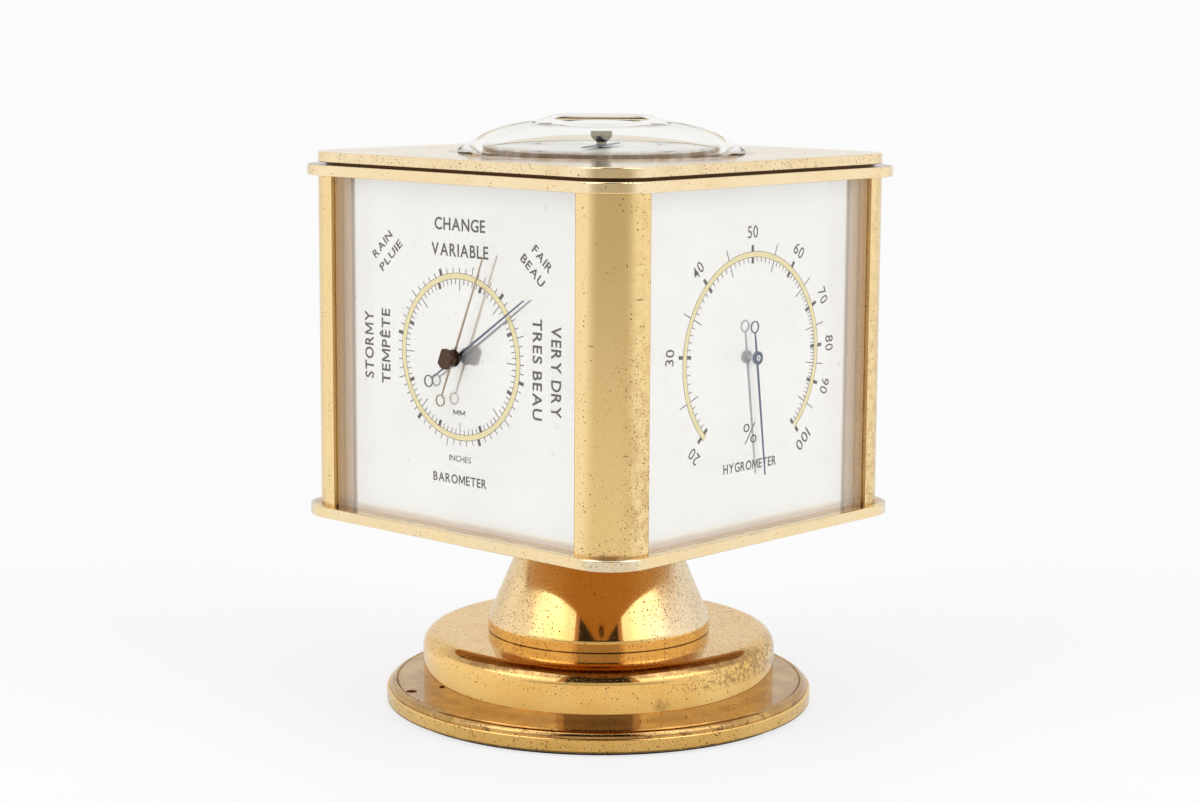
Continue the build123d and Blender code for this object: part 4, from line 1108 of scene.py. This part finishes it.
scale_band("thermometer", inner, outer, -135, 135, 180)
marks = []
for value in range(-20, 51):
    high, width = (21.35, heavy) if value % 10 == 0 else (21.9, 0.17) if value % 5 == 0 else (21.05, 0.17)
    marks.append(((value - top_degree) * degree, outer, high, width))
for value in range(0, 121, 2):
    low, width = (17.65, heavy) if value % 20 == 0 else (16.9, 0.15) if value % 10 == 0 else (17.95, 0.15)
    marks.append((fahrenheit_angle(value), low, inner, width))
printed_marks("thermometer_marks", marks, on_face(180))
numbers = []
for value in range(-20, 51, 10):
    width = 4.3 if value < 0 else 3.3 if value else 1.55
    numbers.append(ring_word(str(value), (value - top_degree) * degree, 24.3, width, 2.45))
for value in range(0, 121, 20):
    numbers.append(ring_word(str(value), fahrenheit_angle(value), 15.4, 0.95 * len(str(value)), 1.5))
printed_words("thermometer_words", numbers + [("°C", 0, -17.2, 3.6, 2.3, 0), ("°F", 0, -11.4, 2.6, 1.6, 0)],
              on_face(180), weight=0.04)
printed_words("thermometer_name", [("THERMOMETER", 0, -26.4, 18.6, 1.85, 0)], on_face(180))

# Clock dial: minute track with the hours inside it
inner, outer = 26.65, 27.9
hour_reach, hour_tall = 21.6, 3.2
hour_widths = {1: 0.5, 10: 3.7, 11: 2.0, 12: 3.3}
scale_band("clock", inner, outer, 0, 360, 270)
printed_marks("clock_marks", [(6 * k, 25.7, inner, thin) if k % 5 else (6 * k, 24.9, inner, heavy)
                              for k in range(60)], on_face(270))
printed_words("clock_words", [
    (str(hour), hour_reach * sin(radians(30 * hour)), hour_reach * cos(radians(30 * hour)) - hour_tall / 2,
     hour_widths.get(hour, 2.1), hour_tall, 0) for hour in range(1, 13)], on_face(270), weight=0.05)


# Panes
# Four flat sheets of clear window glass in the outer grooves of the posts. The barometer's has a hole
# for the spindle of its setting hand.

def clear_glass(name, tint, film=0.02, bend=1.49, darkened=None):
    """Clear glass that lets lamplight through, with a faint film of dust."""
    finish = blank_finish(name)
    tree = finish.node_tree
    where = add(tree, "ShaderNodeTexCoord").outputs["Object"]
    cloud = noise(where, 60, 6)
    colour = blend(ramp(cloud, 0.3, 0.8), tint, (0.96, 0.965, 0.955))
    if darkened:
        colour = blend(darkened(where), colour, (0.420, 0.310, 0.215))
    glass = add(tree, "ShaderNodeBsdfPrincipled", {
        "Base Color": colour, "Metallic": 0.0, "Roughness": ramp(cloud, 0.45, 0.8, 0.0, film, "LINEAR"),
        "IOR": bend, "Transmission Weight": 1.0}).outputs[0]
    through = add(tree, "ShaderNodeBsdfTransparent", {"Color": (0.95, 0.95, 0.95)}).outputs[0]
    shadow = add(tree, "ShaderNodeLightPath").outputs["Is Shadow Ray"]
    add(tree, "ShaderNodeOutputMaterial", {"Surface": mixed(shadow, glass, through)})
    return finish


refinish(clear_glass("window_glass", (0.99, 0.995, 0.99)), "barometer_pane", "hygrometer_pane",
         "thermometer_pane", "clock_pane")


# Hands and the setting knob
# Thin blued-steel pointers with a wire ring on the tail. The setting hand is bare brass, turned from
# outside by a bronzed knob whose spindle passes through the barometer's pane.

def arbor_bright(where):
    """Bare rim of an arbor's end, round the middle of a dial."""
    place = parts_of(where)
    aside = maths("MINIMUM", maths("ABSOLUTE", place["X"]), maths("ABSOLUTE", place["Y"]))
    above = maths("SUBTRACT", place["Z"], dial_centre * mm)
    spread = add(where.id_data, "ShaderNodeCombineXYZ", {"X": aside, "Y": above}).outputs[0]
    return band(vector("LENGTH", spread), 0.30, 0.55, 0.06)


blues = (0.060, 0.085, 0.190), (0.110, 0.125, 0.165)
blued_steel = plain_metal("blued_steel", *blues, 0.22)
bare_brass = plain_metal("bare_brass", (0.46, 0.33, 0.21), (0.36, 0.25, 0.16), 0.30)
bronzed = plain_metal("bronzed_brass", (0.150, 0.088, 0.060), (0.100, 0.060, 0.042), 0.34)
refinish(blued_steel, "barometer_hand", "hygrometer_hand", "thermometer_hand", "minute_hand", "hour_hand",
         "barometer_arbor")
refinish(plain_metal("arbor_steel", *blues, 0.18, bright=arbor_bright),
         "hygrometer_arbor", "thermometer_arbor")
refinish(bare_brass, "setting_hand")
refinish(bronzed, "setting_knob")


# Works behind the dials
# Aneroid capsule with its leaf spring and toothed sector, a humidity coil, a bimetal coil and a clock
# movement in its case: drawn brass, nickel silver and bronze, all hidden by the dials.

movement_brass = plain_metal("movement_brass", (0.76, 0.56, 0.26), (0.66, 0.46, 0.20), 0.28)
nickel_silver = plain_metal("nickel_silver", (0.62, 0.60, 0.55), (0.50, 0.48, 0.44), 0.24)
humidity_strip = plain_metal("humidity_strip", (0.56, 0.36, 0.22), (0.42, 0.26, 0.16), 0.42, metallic=0.6)
bimetal = plain_metal("bimetal", (0.60, 0.50, 0.42), (0.44, 0.38, 0.34), 0.32)
refinish(movement_brass, "barometer_frame", "barometer_bridge", "sector_lever", "hygrometer_frame",
         "thermometer_frame", "clock_case", "clock_movement", "cannon_pinion", "minute_wheel", "hour_wheel",
         "stem_sleeve")
refinish(nickel_silver, "aneroid_capsule")
refinish(spring_steel, "leaf_spring")
refinish(humidity_strip, "humidity_coil")
refinish(bimetal, "bimetal_coil")


# Compass
# A silvered card with a fine printed rose, a rhombic needle on a pin, and the domed crystal that is
# set in the lid: a full shoulder, a bevel and a flat crown, moulded in clear plastic.

card_top = 120.9
card_finish, shader, where = new_finish("compass_card")
marks = lines_at(where, 0.0002)
feed(shader, {"Base Color": blend(ramp(marks["Cloud"], 0.3, 0.7), (0.70, 0.69, 0.66), (0.58, 0.565, 0.54)),
              "Roughness": ramp(marks["Lines"], 0.3, 0.7, 0.26, 0.36, "LINEAR"), "Metallic": 0.55})
refinish(card_finish, "compass_card")
card_place = Matrix.Translation((0, 0, (card_top + ink_lift) * mm)) @ Matrix.Scale(mm, 4)
printed_marks("compass_marks", [(10 * k, 22.6, 24.0, thin) if k % 9 else (10 * k, 21.6, 24.0, 0.35)
                                for k in range(36)], card_place)
printed_words("compass_words", [("N", 0, 17.8, 2.0, 2.6, 0), ("E", 19.2, -1.3, 1.7, 2.6, 0),
                                ("S", 0, -20.4, 1.8, 2.6, 0), ("W", -19.2, -1.3, 2.8, 2.6, 0)], card_place)
refinish(plain_metal("cap_metal", (0.40, 0.37, 0.29), (0.29, 0.27, 0.21), 0.05), "needle_cap")
refinish(bright_steel, "compass_pivot")
refinish(blued_steel, "compass_needle")


def bulged(start, end, rise):
    """Points of an arc from start to end that stands proud of their chord by rise, to its right."""
    first, last = Vector(start), Vector(end)
    chord = last - first
    half = chord.length / 2
    radius = (half * half + rise * rise) / (2 * abs(rise))
    normal = Vector((chord.y, -chord.x)).normalized() * (1 if rise > 0 else -1)
    return arc_about((first + last) / 2 - normal * (radius - abs(rise)), first, last, 14)


def foot_cemented(where):
    """Brown line of old cement where the crystal stands in the lid."""
    foot = times(fade(height_of(where), 121.05, 122.00, 0.95, 0.0), fingered(where))
    return times(foot, ramp(noise(where, 420, 4), 0.3, 0.6, 0.45, 1.0))


crystal_foot, crystal_out, crystal_in = 120.43, 30.9, 25.9
bevel_out, bevel_foot = 15.8, 127.0
crown_out, crown_top, crown_under, crown_middle = 10.5, 128.5, 126.9, 4.0
bulge = 1.15
outer_wall = bulged((crystal_out, 121.15), (bevel_out, bevel_foot), bulge)
inner_wall = bulged((13.4, 126.2), (crystal_in, 121.2), -bulge)
crystal = swept("dome_crystal_moulded", [
    (crown_middle, crown_under), (crown_out, crown_under, 0.1), *inner_wall, (crystal_in, crystal_foot),
    (crystal_out, crystal_foot), *outer_wall[:-1], (bevel_out, bevel_foot, 0.25),
    (crown_out, crown_top, 0.25), (crown_middle, crown_top)], circle, closed=False)
dress(crystal, "head", clear_glass("moulded_crystal", (0.985, 0.985, 0.975), 0.01, bend=1.06,
                                   darkened=foot_cemented), "dome_crystal")


# Crown
# A fluted brass crown on the winding stem, under the clock's side of the bottom plate; it winds when
# turned and sets the hands when pulled down.

refinish(lacquered_brass("brass_crown", pale_gold, coverage=0.4, spot=0.0003), "winding_crown")
refinish(bright_steel, "winding_stem")
